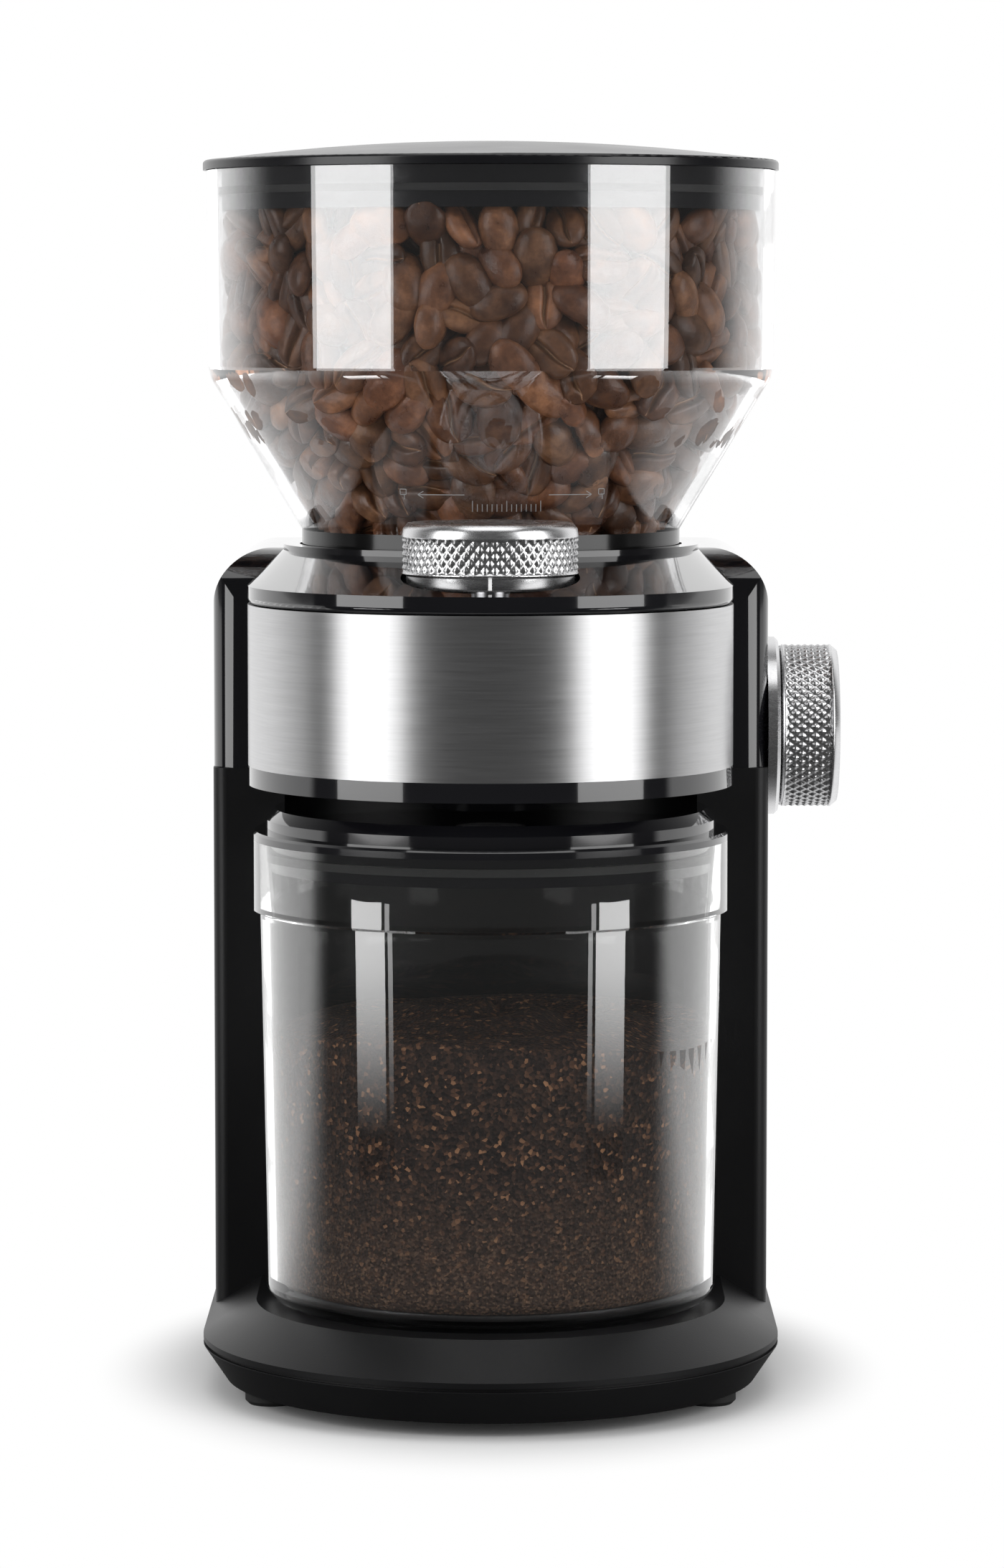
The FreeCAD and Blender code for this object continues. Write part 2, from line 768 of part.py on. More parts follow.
def gearbox_cover():
    plate = prism(gearbox_face(gearbox_wall), gearbox_lid_z, chamber_z)
    plate = plate.cut(cyl(bearing_r, gearbox_lid_z, chamber_z))
    plate = plate.cut(cyl(idler_axle_r, gearbox_lid_z, chamber_z, idler_x, idler_y))
    for x, y in gearbox_screw_places():
        plate = plate.cut(cyl(gearbox_screw_r, gearbox_lid_z, chamber_z, x, y))
    return plate


def gearbox_screws():
    """Screws in the corners that the round grinding chamber leaves free."""
    screws = []
    for x, y in gearbox_screw_places():
        if math.hypot(x, y) > chamber_r + chamber_wall + 2.6:
            screws.append(screw(x, y, chamber_z, 1.6, 2.4, gearbox_screw_r, gearbox_floor_z))
    return Part.makeCompound(screws)


def motor_screw_places():
    return [(sx * motor_screw_x, motor_y) for sx in (-1, 1)]


def motor_can():
    low = gearbox_floor_z - motor_length
    can = lathe([(0, low), (motor_r, low), (motor_r, gearbox_floor_z - 1.5),
                 (motor_r - 1.5, gearbox_floor_z), (0, gearbox_floor_z)], 0, motor_y)
    can = can.cut(cyl(motor_shaft_r + running_play, low, gearbox_floor_z, 0, motor_y))
    for x, y in motor_screw_places():
        can = can.cut(cyl(motor_screw_r, gearbox_floor_z - 5, gearbox_floor_z, x, y))
    return can


def motor_end_cap():
    top = gearbox_floor_z - motor_length
    cap = lathe([(0, top - motor_cap_height), (motor_r - 5, top - motor_cap_height),
                 (motor_r - 1, top - 2), (motor_r - 1, top), (0, top)], 0, motor_y)
    cap = cap.cut(cyl(motor_shaft_r + running_play, top - 4, top, 0, motor_y))
    terminals = [box(sx * motor_terminal_x - 0.5, sx * motor_terminal_x + 0.5,
                     motor_y - 2.5, motor_y + 2.5,
                     motor_pad_top - motor_terminal_length, top - motor_cap_height / 2)
                 for sx in (-1, 1)]
    return join([cap] + terminals)


def motor_pillar():
    """Pillar on the tray that steadies the motor's lower end, with a cup for its pad."""
    floor = foot_height + tray_floor
    top = motor_pad_z
    pillar = tube(motor_pad_r, motor_pad_r - 3, floor, top, 0, motor_y)
    foot = tube(motor_pad_r + 5, motor_pad_r - 3, floor, floor + 3, 0, motor_y)
    ribs = [box(-1.2, 1.2, motor_pad_r - 1, motor_pad_r + 4.5, floor, top * 0.7)
            for _ in range(4)]
    ribs = [rib.translated(V(0, motor_y, 0)) for rib in ribs]
    turned = []
    for number, rib in enumerate(ribs):
        rib.rotate(V(0, motor_y, 0), V(0, 0, 1), 45 + 90 * number)
        turned.append(rib)
    return join([pillar, foot] + turned)


def motor_pad():
    top = motor_pad_top
    ring = tube(motor_pad_r, motor_pad_r - 5, motor_pad_z, top, 0, motor_y)
    for sx in (-1, 1):
        x = sx * motor_terminal_x
        slot = box(x - 1.5, x + 1.5, motor_y - 4, motor_y + 4,
                   motor_pad_z + 1.5, top)
        ring = ring.cut(slot)
    return ring


def motor_screws():
    return Part.makeCompound([
        screw(x, y, gearbox_floor_top, 0.9, 2.5, motor_screw_r, gearbox_floor_z - 5)
        for x, y in motor_screw_places()])


def motor_shaft():
    low = gearbox_floor_z - motor_length - 3.8
    return cyl(motor_shaft_r, low, low_gear_top, 0, motor_y)


def angle_between(x0, y0, x1, y1):
    return math.degrees(math.atan2(y1 - y0, x1 - x0))


def motor_pinion():
    towards = angle_between(0, motor_y, idler_x, idler_y)
    return gear(motor_teeth, low_gear_z, low_gear_top, 0, motor_y, towards, motor_shaft_r)


def idler_gear():
    """Compound gear: the wide wheel takes the motor, the narrow one drives the burr."""
    to_motor = angle_between(idler_x, idler_y, 0, motor_y)
    to_burr = angle_between(idler_x, idler_y, 0, 0)
    bore = idler_axle_r + running_play
    wide = gear(idler_big_teeth, low_gear_z, low_gear_top, idler_x, idler_y,
                to_motor + 180.0 / idler_big_teeth, bore)
    wide = wide.cut(join(around(cyl(2.4, low_gear_z, low_gear_top, idler_x + 12, idler_y),
                                6, 0, idler_x, idler_y)))
    narrow = gear(idler_small_teeth, low_gear_top, high_gear_top, idler_x, idler_y,
                  to_burr, bore)
    return join([wide, narrow])


def burr_gear():
    to_idler = angle_between(0, 0, idler_x, idler_y)
    wheel = gear(burr_teeth, high_gear_z, high_gear_top, 0, 0,
                 to_idler + 180.0 / burr_teeth, burr_shaft_r)
    return wheel.cut(join(around(cyl(2.6, high_gear_z, high_gear_top, 12, 0), 6)))


def idler_axle():
    return cyl(idler_axle_r, gearbox_floor_z, chamber_z, idler_x, idler_y)


def shaft_bush():
    return tube(bush_r, burr_shaft_r + running_play, gearbox_floor_z, low_gear_z)


def shaft_bearing():
    return tube(bearing_r, burr_shaft_r + running_play, gearbox_lid_z, chamber_floor_top)


def burr_shaft():
    return cyl(burr_shaft_r, gearbox_floor_z + 0.5, cone_burr_top_z)


# ---- burrs and grinding chamber ----

def burr_housing():
    outer = chamber_r + chamber_wall
    cup = cyl(outer, chamber_z, chamber_top_z)
    cup = cup.cut(cyl(chamber_r, chamber_floor_top, chamber_top_z))
    cup = cup.cut(cyl(bearing_r, chamber_z, chamber_floor_top))
    window = box(-outlet_half_width, outlet_half_width, -outer - 1, -chamber_r + 6,
                 chamber_floor_top, ring_low_z)
    return cup.cut(window)


def grounds_chute():
    """Hood on the chamber's outlet and the spout that drops the grounds into the jar."""
    outer = chamber_r + chamber_wall
    inside = outlet_half_width
    outside = inside + 1.7
    front = chute_y - chute_r - 2.0
    front_inside = front + 1.7
    back = chute_y + chute_r
    block_low = chamber_z - 4.5
    hood = box(-outside, outside, front, -chamber_r - 0.7, chamber_z, ring_low_z + 2)
    hood = hood.cut(cyl(outer, chamber_z, ring_low_z + 2))
    under = box(-outside, outside, front, back + 1.5, block_low, chamber_z)
    spout = cyl(chute_r + chute_wall, chute_end_z, block_low, 0, chute_y)
    whole = join([hood, under, spout])
    space = box(-inside, inside, front_inside, -chamber_r + 2.3, chamber_floor_top, ring_low_z)
    mouth = box(-inside, inside, front_inside, -outer + 0.2, chamber_z - 3, chamber_floor_top + 1)
    drop = box(-inside, inside, front_inside, back, chamber_z - 3, chamber_z)
    whole = whole.cut(space).cut(join([mouth, drop]))
    return whole.cut(cyl(chute_r, chute_end_z - 1, chamber_z, 0, chute_y))


def sweeper():
    """Disc on the burr shaft whose paddles push the grounds to the outlet."""
    low = chamber_floor_top + 0.5
    top = cone_low_z - 0.3
    disc = cyl(ring_outer_r - 2.0, low, top)
    paddles = around(box(-1.5, 1.5, cone_low_r, chamber_r - paddle_play, low, top), 4)
    return join([disc] + paddles).cut(cyl(burr_shaft_r, low, top))


def cone_burr():
    """Inner burr: a steel cone with slanting cutting grooves."""
    cone = lathe([(0, cone_low_z - 0.3), (cone_low_r, cone_low_z - 0.3),
                  (cone_low_r, cone_low_z + 1.0), (cone_top_r, cone_burr_top_z),
                  (0, cone_burr_top_z)])
    length = cone_burr_top_z - cone_low_z
    lean = math.degrees(math.atan2(cone_low_r - cone_top_r, length))
    groove = Part.makeBox(1.5, 3.0, length * 1.8, V(-0.75, -1.0, -length * 0.4))
    groove.rotate(V(0, 0, 0), V(0, 1, 0), 22)
    groove.rotate(V(0, 0, 0), V(1, 0, 0), -lean)
    groove.translate(V(0, -cone_low_r, cone_low_z))
    cone = cone.cut(Part.makeCompound(around(groove, 12)))
    return cone.cut(cyl(burr_shaft_r, cone_low_z - 1, cone_burr_top_z))


def burr_bolt():
    return hex_prism(10.0, cone_burr_top_z, cone_burr_top_z + 4)


def cone_r_at(z):
    """Radius of the inner burr's cone at height z."""
    share = (z - cone_low_z - 1.0) / (cone_burr_top_z - cone_low_z - 1.0)
    return cone_low_r + (cone_top_r - cone_low_r) * share


def ring_burr():
    """Outer burr: a steel ring with slots in its funnel."""
    low_r = cone_r_at(ring_low_z) + burr_gap
    ring = lathe([(low_r, ring_low_z), (ring_outer_r, ring_low_z),
                  (ring_outer_r, burr_ring_top_z), (ring_top_r, burr_ring_top_z)])
    slot = box(ring_top_r - 3.5, ring_top_r + 1.0, -0.8, 0.8, ring_low_z + 4, burr_ring_top_z)
    return ring.cut(Part.makeCompound(around(slot, 16)))


def burr_carrier():
    """Ring that holds the outer burr. The hopper's lugs turn it by its notched flange."""
    inner = ring_outer_r + ring_clearance
    outer = chamber_r - loose
    low = ring_low_z + 0.6
    sleeve = tube(outer, inner, low, carrier_flange_z)
    flange_top = carrier_flange_z + carrier_flange_thickness
    flange = tube(carrier_flange_r, inner, carrier_flange_z, flange_top)
    whole = join([sleeve, flange])
    width = 2 * (chamber_r + 2) * math.sin(math.radians(lug_angle / 2 + 2))
    notch = box(-width / 2, width / 2, lug_inner_r - loose, carrier_flange_r + 1,
                lug_low_z - loose, flange_top + 1)
    return whole.cut(Part.makeCompound(around(notch, lug_count)))


# ---- hopper and lid ----

def hopper():
    """Clear container: cylinder, cone and neck with one wall all through."""
    w = hopper_wall
    low = seat_top_z + loose
    round_r = 3.0
    lean = math.atan2(cone_top_z - neck_top_z, hopper_low_r - neck_r)
    shift = w * math.tan(lean / 2)
    outer = [(neck_r, low), (neck_r, neck_top_z), (hopper_low_r - round_r * 0.5,
             cone_top_z - round_r * 0.5 * math.tan(lean)),
             ((hopper_low_r - 0.35, cone_top_z - 0.25), (hopper_low_r + 0.01, cone_top_z + 1.6)),
             (hopper_top_r, hopper_rim_z)]
    inner = [(hopper_top_r - w, hopper_rim_z), (hopper_low_r - w, cone_top_z + shift),
             (neck_r - w, neck_top_z + shift), (neck_r - w, low)]
    return lathe(outer + inner)


def hopper_ring():
    """Dark funnel ring in the hopper's neck, with the lugs that turn the burr carrier."""
    outer = neck_r - hopper_wall
    low = seat_top_z + 0.2
    funnel = lathe([(throat_r, low), (outer, low), (outer, ring_top_z),
                    (outer - 1.2, ring_top_z), (throat_r, low + 1.6)])
    width = 2 * (chamber_r + 2) * math.sin(math.radians(lug_angle / 2))
    lug = box(-width / 2, width / 2, lug_inner_r, lug_outer_r, lug_low_z, low + 0.5)
    return join([funnel] + around(lug, lug_count))


def hopper_lid():
    rim_z = lid_rim_z
    edge_z = lid_edge_z
    collar_low = rim_z - lid_collar_depth
    dome_edge_r = lid_r - 1.6
    rise = lid_apex_z - edge_z
    sphere_r = (dome_edge_r ** 2 + rise ** 2) / (2 * rise)
    middle_r = dome_edge_r / 2
    centre_z = lid_apex_z - sphere_r
    middle_z = centre_z + math.sqrt(sphere_r ** 2 - middle_r ** 2)
    inside_r = lid_collar_r - lid_shell
    inner_sphere = sphere_r - lid_shell
    inner_edge_z = centre_z + math.sqrt(inner_sphere ** 2 - inside_r ** 2)
    inner_middle_z = centre_z + math.sqrt(inner_sphere ** 2 - (inside_r / 2) ** 2)
    corner = corner_middle(lid_r - 0.8, edge_z - 0.8, 0.8, 45)
    path = [(0, lid_apex_z), ((middle_r, middle_z), (dome_edge_r, edge_z)),
            (lid_r - 0.8, edge_z), (corner, (lid_r, edge_z - 0.8)), (lid_r, rim_z),
            (lid_collar_r, rim_z), (lid_collar_r, collar_low), (inside_r, collar_low),
            (inside_r, inner_edge_z),
            ((inside_r / 2, inner_middle_z), (0, lid_apex_z - lid_shell))]
    return lathe(path)


def lid_seal():
    z = hopper_rim_z - 5.0
    return tube(lid_collar_r + seal_bulge, lid_collar_r, z, z + 1.5)


# ---- jar and its lid ----

def jar():
    low = jar_bottom_z
    c = jar_corner_r
    w = jar_wall
    low_middle = corner_middle(jar_foot_r - c, low + c, c, -45)
    inside_c = c - 1.0
    inside_r = jar_foot_r - w
    floor = low + jar_floor
    inner_middle = corner_middle(inside_r - inside_c, floor + inside_c, inside_c, -45)
    path = [(0, low), (jar_foot_r - c, low), (low_middle, (jar_foot_r, low + c)),
            (jar_shoulder_r, jar_shoulder_z), (jar_rim_r, jar_shoulder_z + 0.6),
            (jar_rim_r, jar_rim_z), (jar_rim_r - w, jar_rim_z),
            (jar_shoulder_r - w, jar_shoulder_z - 1), (inside_r, floor + inside_c),
            (inner_middle, (inside_r - inside_c, floor)), (0, floor)]
    return lathe(path, 0, jar_y)


def jar_lid():
    """Lid with a flange on the jar's rim, a plug inside it and a hole for the grounds."""
    flange_top = jar_rim_z + jar_lid_flange
    plug_r = jar_plug_r
    plug_low = jar_rim_z - jar_lid_plug_depth
    inside_r = plug_r - 1.8
    edge = 2.0
    path = [(jar_lid_hole_r, jar_lid_top_z), (jar_lid_drum_r - edge, jar_lid_top_z),
            (jar_lid_drum_r, jar_lid_top_z - edge), (jar_lid_drum_r, flange_top),
            (jar_rim_r - 0.5, flange_top), (jar_rim_r, flange_top - 0.5),
            (jar_rim_r, jar_rim_z), (plug_r, jar_rim_z), (plug_r, plug_low),
            (inside_r, plug_low), (inside_r, jar_lid_top_z - jar_lid_shell),
            (jar_lid_hole_r, jar_lid_top_z - jar_lid_shell)]
    return lathe(path, 0, jar_y)


def jar_seal():
    z = jar_rim_z - 3.6
    return tube(jar_plug_r + seal_bulge, jar_plug_r, z, z + 1.6, 0, jar_y)


# ---- top dial, start button and their electronics ----

def dial_knob():
    r = dial_r
    knob = lathe([(0, dial_bottom_z), (dial_collar_r - 0.4, dial_bottom_z),
                  (dial_collar_r, dial_bottom_z + 0.4), (dial_collar_r, dial_knurl_z),
                  (r, dial_knurl_z), (r, dial_shoulder_z),
                  (r - 1.2, dial_top_z), (r - 4.2, dial_top_z),
                  (r - 5.0, dial_top_z - 1.2), (0, dial_top_z - 1.2)], 0, dial_y)
    knob = knob.cut(cyl(button_r + button_gap, button_floor_z, dial_top_z, 0, dial_y))
    return knob.cut(cyl(dial_shaft_r, dial_bottom_z, button_floor_z, 0, dial_y))


def dial_shaft():
    low = dial_pad_z - 8.0
    return tube(dial_shaft_r, stem_r + loose, low, button_floor_z, 0, dial_y)


def start_button():
    low = button_floor_z + button_travel + loose
    cap = lathe([(0, low), (button_r, low), (button_r, button_top_z - 0.5),
                 (button_r - 0.5, button_top_z), (0, button_top_z)], 0, dial_y)
    stem = cyl(stem_r, switch_top_z + button_travel + 0.1, low + 1, 0, dial_y)
    return join([cap, stem])


def dial_sensor():
    """Round encoder body under the deck, with its bush through the deck."""
    low = dial_pad_z - sensor_height
    body = cyl(sensor_r, low, dial_pad_z, 0, dial_y)
    bush = cyl(sensor_bush_r, dial_pad_z, dial_floor_z, 0, dial_y)
    lugs = box(-3.0, 3.0, dial_y - sensor_r - 2.0, dial_y, low, low + 2.5)
    bore = cyl(dial_shaft_r + loose, low, dial_floor_z, 0, dial_y)
    return join([body, bush, lugs]).cut(bore)


def control_board():
    plate = box(-board_half_width, board_half_width, board_front_y, board_back_y,
                board_z, board_z + board_thickness)
    for x, y in board_posts():
        plate = plate.cut(cyl(board_hole_r, board_z, board_z + board_thickness, x, y))
    chip_z = board_z + board_thickness
    chips = [box(9, 17, -61, -55, chip_z, chip_z + 1.4),
             box(-18, -10, -62, -57, chip_z, chip_z + 2.6)]
    return join([plate] + chips)


def board_screws():
    top = board_z + board_thickness
    return Part.makeCompound([screw(x, y, top, 1.4, 2.2, board_hole_r, board_z)
                              for x, y in board_posts()])


def start_switch():
    z = board_z + board_thickness
    body = box(-4, 4, dial_y - 4, dial_y + 4, z, z + switch_height - 1.0)
    return join([body, cyl(2.2, z, z + switch_height, 0, dial_y)])


# ---- side dial ----

def side_knob():
    start = side_face_start + side_gap
    length = side_length
    r = side_r
    knob = lathe([(0, 0), (r - 0.6, 0), (r, 0.6), (r, length - 1.3), (r - 1.2, length),
                  (r - 4.2, length), (r - 5.0, length - 1.0), (0, length - 1.0)])
    bore = cyl(side_shaft_r, 0, length - side_bore_floor)
    return along_x(knob.cut(bore), start, side_y, side_z)


def side_shaft():
    end = side_face_x - side_bore_floor
    start = body_half_width - case_wall - 12.0
    return along_x(cyl(side_shaft_r, 0, end - start), start, side_y, side_z)


def side_flange():
    """Fixed bright ring between the case and the side dial."""
    t = side_flange_thickness
    ring = lathe([(side_bush_r, 0), (side_flange_r, 0), (side_flange_r, t - 0.7),
                  (side_flange_r - 0.7, t), (side_bush_r, t)])
    return along_x(ring, body_half_width, side_y, side_z)


def selector_switch():
    """Rotary switch behind the wall, its bush through the wall and the flange."""
    inner = body_half_width - case_wall
    body = box(inner - 13, inner, side_y - 9, side_y + 9,
               seam_z + 0.8, side_z + 9)
    start = V(inner - 1, side_y, side_z)
    length = case_wall + side_flange_thickness + 1
    bush = Part.makeCylinder(side_bush_r, length, start, V(1, 0, 0))
    bore = Part.makeCylinder(side_shaft_r + running_play, 40, V(inner - 13, side_y, side_z),
                             V(1, 0, 0))
    return join([body, bush]).cut(bore)


# ---- mains electronics ----

def power_board():
    """Upright board on the left wall of the column, on four posts."""
    x = power_board_x
    plate = box(x, x + board_thickness, 22, 46, power_board_z, power_board_z + 60)
    wall = -(body_half_width - case_wall)
    posts = []
    for y in (25, 43):
        for z in (power_board_z + 4, power_board_z + 56):
            posts.append(Part.makeCylinder(2.0, x - wall, V(wall, y, z), V(1, 0, 0)))
    parts = [box(x + board_thickness, x + 14, 26, 40, power_board_z + 12, power_board_z + 30)]
    parts.append(Part.makeCylinder(5.0, 12, V(x + board_thickness, 33, power_board_z + 45),
                                   V(1, 0, 0)))
    return join([plate] + posts + parts)


# ---- write every piece ----

PIECES = {
    "base_tray": base_tray, "base_cover": base_cover, "rubber_feet": rubber_feet,
    "base_screws": base_screws, "lower_body": lower_body, "cord_gland": cord_gland,
    "upper_body": upper_body, "top_deck": top_deck, "front_housing": front_housing,
    "steel_band": steel_band, "gearbox_base": gearbox_base, "gearbox_cover": gearbox_cover,
    "gearbox_screws": gearbox_screws, "motor_can": motor_can,
    "motor_end_cap": motor_end_cap, "motor_pillar": motor_pillar, "motor_pad": motor_pad,
    "motor_screws": motor_screws, "motor_shaft": motor_shaft,
    "motor_pinion": motor_pinion, "idler_gear": idler_gear, "idler_axle": idler_axle,
    "burr_gear": burr_gear, "shaft_bush": shaft_bush, "shaft_bearing": shaft_bearing,
    "burr_shaft": burr_shaft, "burr_housing": burr_housing,
    "grounds_chute": grounds_chute, "sweeper": sweeper, "cone_burr": cone_burr,
    "burr_bolt": burr_bolt, "ring_burr": ring_burr, "burr_carrier": burr_carrier,
    "hopper": hopper, "hopper_ring": hopper_ring, "hopper_lid": hopper_lid,
    "lid_seal": lid_seal, "jar": jar, "jar_lid": jar_lid, "jar_seal": jar_seal,
    "dial_knob": dial_knob, "dial_shaft": dial_shaft, "start_button": start_button,
    "dial_sensor": dial_sensor, "control_board": control_board,
    "board_screws": board_screws, "start_switch": start_switch, "side_knob": side_knob,
    "side_shaft": side_shaft, "side_flange": side_flange,
    "selector_switch": selector_switch, "power_board": power_board,
}


def export():
    os.makedirs("parts", exist_ok=True)
    for name, make in PIECES.items():
        piece = make()
        piece.translate(V(-origin_x, -origin_y, 0))
        state = "ok" if piece.isValid() else "INVALID"
        print(f"{name:16s} {len(piece.Solids)} solids {piece.Volume:10.1f} mm3 {state}")
        piece.exportStep(f"parts/{name}.step")


export()
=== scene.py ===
import json
import math

import bpy
import numpy as np
from mathutils import Matrix, Vector


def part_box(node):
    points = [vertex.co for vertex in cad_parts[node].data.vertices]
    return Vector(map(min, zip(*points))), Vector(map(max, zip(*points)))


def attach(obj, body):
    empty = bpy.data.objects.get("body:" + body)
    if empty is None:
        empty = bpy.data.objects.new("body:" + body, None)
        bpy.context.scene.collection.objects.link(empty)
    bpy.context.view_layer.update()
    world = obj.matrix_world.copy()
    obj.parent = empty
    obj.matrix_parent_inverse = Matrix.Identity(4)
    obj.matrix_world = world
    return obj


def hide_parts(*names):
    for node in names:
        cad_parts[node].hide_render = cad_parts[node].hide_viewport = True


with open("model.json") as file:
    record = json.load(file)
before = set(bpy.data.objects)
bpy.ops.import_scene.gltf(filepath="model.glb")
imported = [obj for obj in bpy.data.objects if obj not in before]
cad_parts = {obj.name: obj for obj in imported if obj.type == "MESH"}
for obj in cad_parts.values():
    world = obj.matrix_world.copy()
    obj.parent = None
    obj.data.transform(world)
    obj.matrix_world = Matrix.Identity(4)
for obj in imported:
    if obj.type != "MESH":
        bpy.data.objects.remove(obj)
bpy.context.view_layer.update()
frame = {"nodes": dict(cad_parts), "record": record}

NODES = frame["nodes"]
rng = np.random.default_rng(7)


def middle(node):
    """Centre of a CAD node's box."""
    low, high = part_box(node)
    return (low + high) / 2


HOPPER_AXIS = middle("hopper")
JAR_AXIS = middle("jar")
NECK_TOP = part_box("hopper_ring")[1].z + 0.0006
CONE_TOP = NECK_TOP + 0.0320
HOPPER_WALL = 0.0024        # the hopper's rim and wall together
CONE_STEP = 0.0195          # how much narrower the neck is than the cylinder
BEAN_LENGTH, BEAN_WIDTH, BEAN_HEIGHT = 0.0120, 0.0086, 0.0034


# ---- node helpers ----

def new_material(name):
    """Empty node material: returns material, node tree, Principled and output nodes."""
    made = bpy.data.materials.new(name)
    made.use_nodes = True
    tree = made.node_tree
    shader = tree.nodes["Principled BSDF"]
    return made, tree, shader, tree.nodes["Material Output"]


def node(tree, kind, settings=None, **sockets):
    """Adds a node, sets its properties and its input sockets (values or links)."""
    made = tree.nodes.new(kind)
    for key, value in (settings or {}).items():
        setattr(made, key, value)
    for key, value in sockets.items():
        socket = made.inputs[int(key[1:])] if key[0] == "i" and key[1:].isdigit() else made.inputs[key]
        if isinstance(value, bpy.types.NodeSocket):
            tree.links.new(value, socket)
        else:
            socket.default_value = value
    return made


def place(tree, stretch=(1, 1, 1), centre=(0, 0, 0)):
    """Object coordinates about a centre, stretched."""
    coordinates = tree.nodes.new("ShaderNodeTexCoord")
    mapping = node(tree, "ShaderNodeMapping", i0=coordinates.outputs["Object"])
    mapping.inputs["Location"].default_value = [-c * s for c, s in zip(centre, stretch)]
    mapping.inputs["Scale"].default_value = stretch
    return mapping.outputs[0]


def noise(tree, vector, scale, detail=4.0, rough=0.55):
    """Noise value at a place."""
    made = node(tree, "ShaderNodeTexNoise", i0=vector)
    made.inputs["Scale"].default_value = scale
    made.inputs["Detail"].default_value = detail
    made.inputs["Roughness"].default_value = rough
    return made.outputs["Fac"]


def ramp(tree, value, stops):
    """Colour ramp from (position, colour) stops."""
    made = node(tree, "ShaderNodeValToRGB", i0=value)
    elements = made.color_ramp.elements
    while len(elements) < len(stops):
        elements.new(0.5)
    for element, (position, colour) in zip(elements, stops):
        element.position = position
        grey = colour if isinstance(colour, tuple) else (colour, colour, colour)
        element.color = (*grey, 1)
    return made.outputs[0]


def bump(tree, shader, height, strength, distance):
    """Bump under the shader's surface."""
    made = node(tree, "ShaderNodeBump", Height=height)
    made.inputs["Strength"].default_value = strength
    made.inputs["Distance"].default_value = distance
    tree.links.new(made.outputs[0], shader.inputs["Normal"])


def finish_values(shader, **values):
    """Sets shader sockets by name, with _ for a space."""
    for key, value in values.items():
        shader.inputs[key.replace("_", " ")].default_value = value


# ---- materials ----

def plastic(name, colour, rough, grain, grain_depth, spread=0.05, coat=0.0, specular=0.5):
    """Moulded plastic: fine grain in the surface and slight change in its gloss."""
    made, tree, shader, _ = new_material(name)
    where = place(tree)
    patch = noise(tree, where, 18.0, 3.0)
    fine = noise(tree, where, grain, 2.0)
    light = tuple(min(1, c * 1.25 + 0.002) for c in colour)
    tree.links.new(ramp(tree, patch, [(0.3, colour), (0.7, light)]), shader.inputs["Base Color"])
    tree.links.new(ramp(tree, patch, [(0.3, rough - spread), (0.7, rough + spread)]),
                   shader.inputs["Roughness"])
    bump(tree, shader, fine, 0.35, grain_depth)
    finish_values(shader, Coat_Weight=coat, Coat_Roughness=0.03)
    shader.inputs["IOR"].default_value = 1.5
    shader.inputs["Specular IOR Level"].default_value = specular
    return made


def metal(name, colour, rough, stretch, streak_scale, spin_axis=None, centre=(0, 0, 0), depth=2e-5,
          anisotropy=0.0, contrast=0.12):
    """Metal with streaks stretched along the way it was brushed or turned."""
    made, tree, shader, _ = new_material(name)
    where = place(tree, stretch, centre)
    streaks = noise(tree, where, streak_scale, 6.0, 0.7)
    dark = tuple(c * (1 - contrast) for c in colour)
    tree.links.new(ramp(tree, streaks, [(0.3, dark), (0.7, colour)]), shader.inputs["Base Color"])
    both = node(tree, "ShaderNodeMath", {"operation": "MULTIPLY_ADD"}, i0=streaks, i1=0.16)
    both.inputs[2].default_value = rough - 0.08
    tree.links.new(both.outputs[0], shader.inputs["Roughness"])
    shader.inputs["Metallic"].default_value = 1.0
    bump(tree, shader, streaks, 0.25, depth)
    if spin_axis:
        tangent = node(tree, "ShaderNodeTangent", {"direction_type": "RADIAL", "axis": spin_axis})
        tree.links.new(tangent.outputs[0], shader.inputs["Tangent"])
        shader.inputs["Anisotropic"].default_value = anisotropy
        shader.inputs["Anisotropic Rotation"].default_value = 0.25
    return made


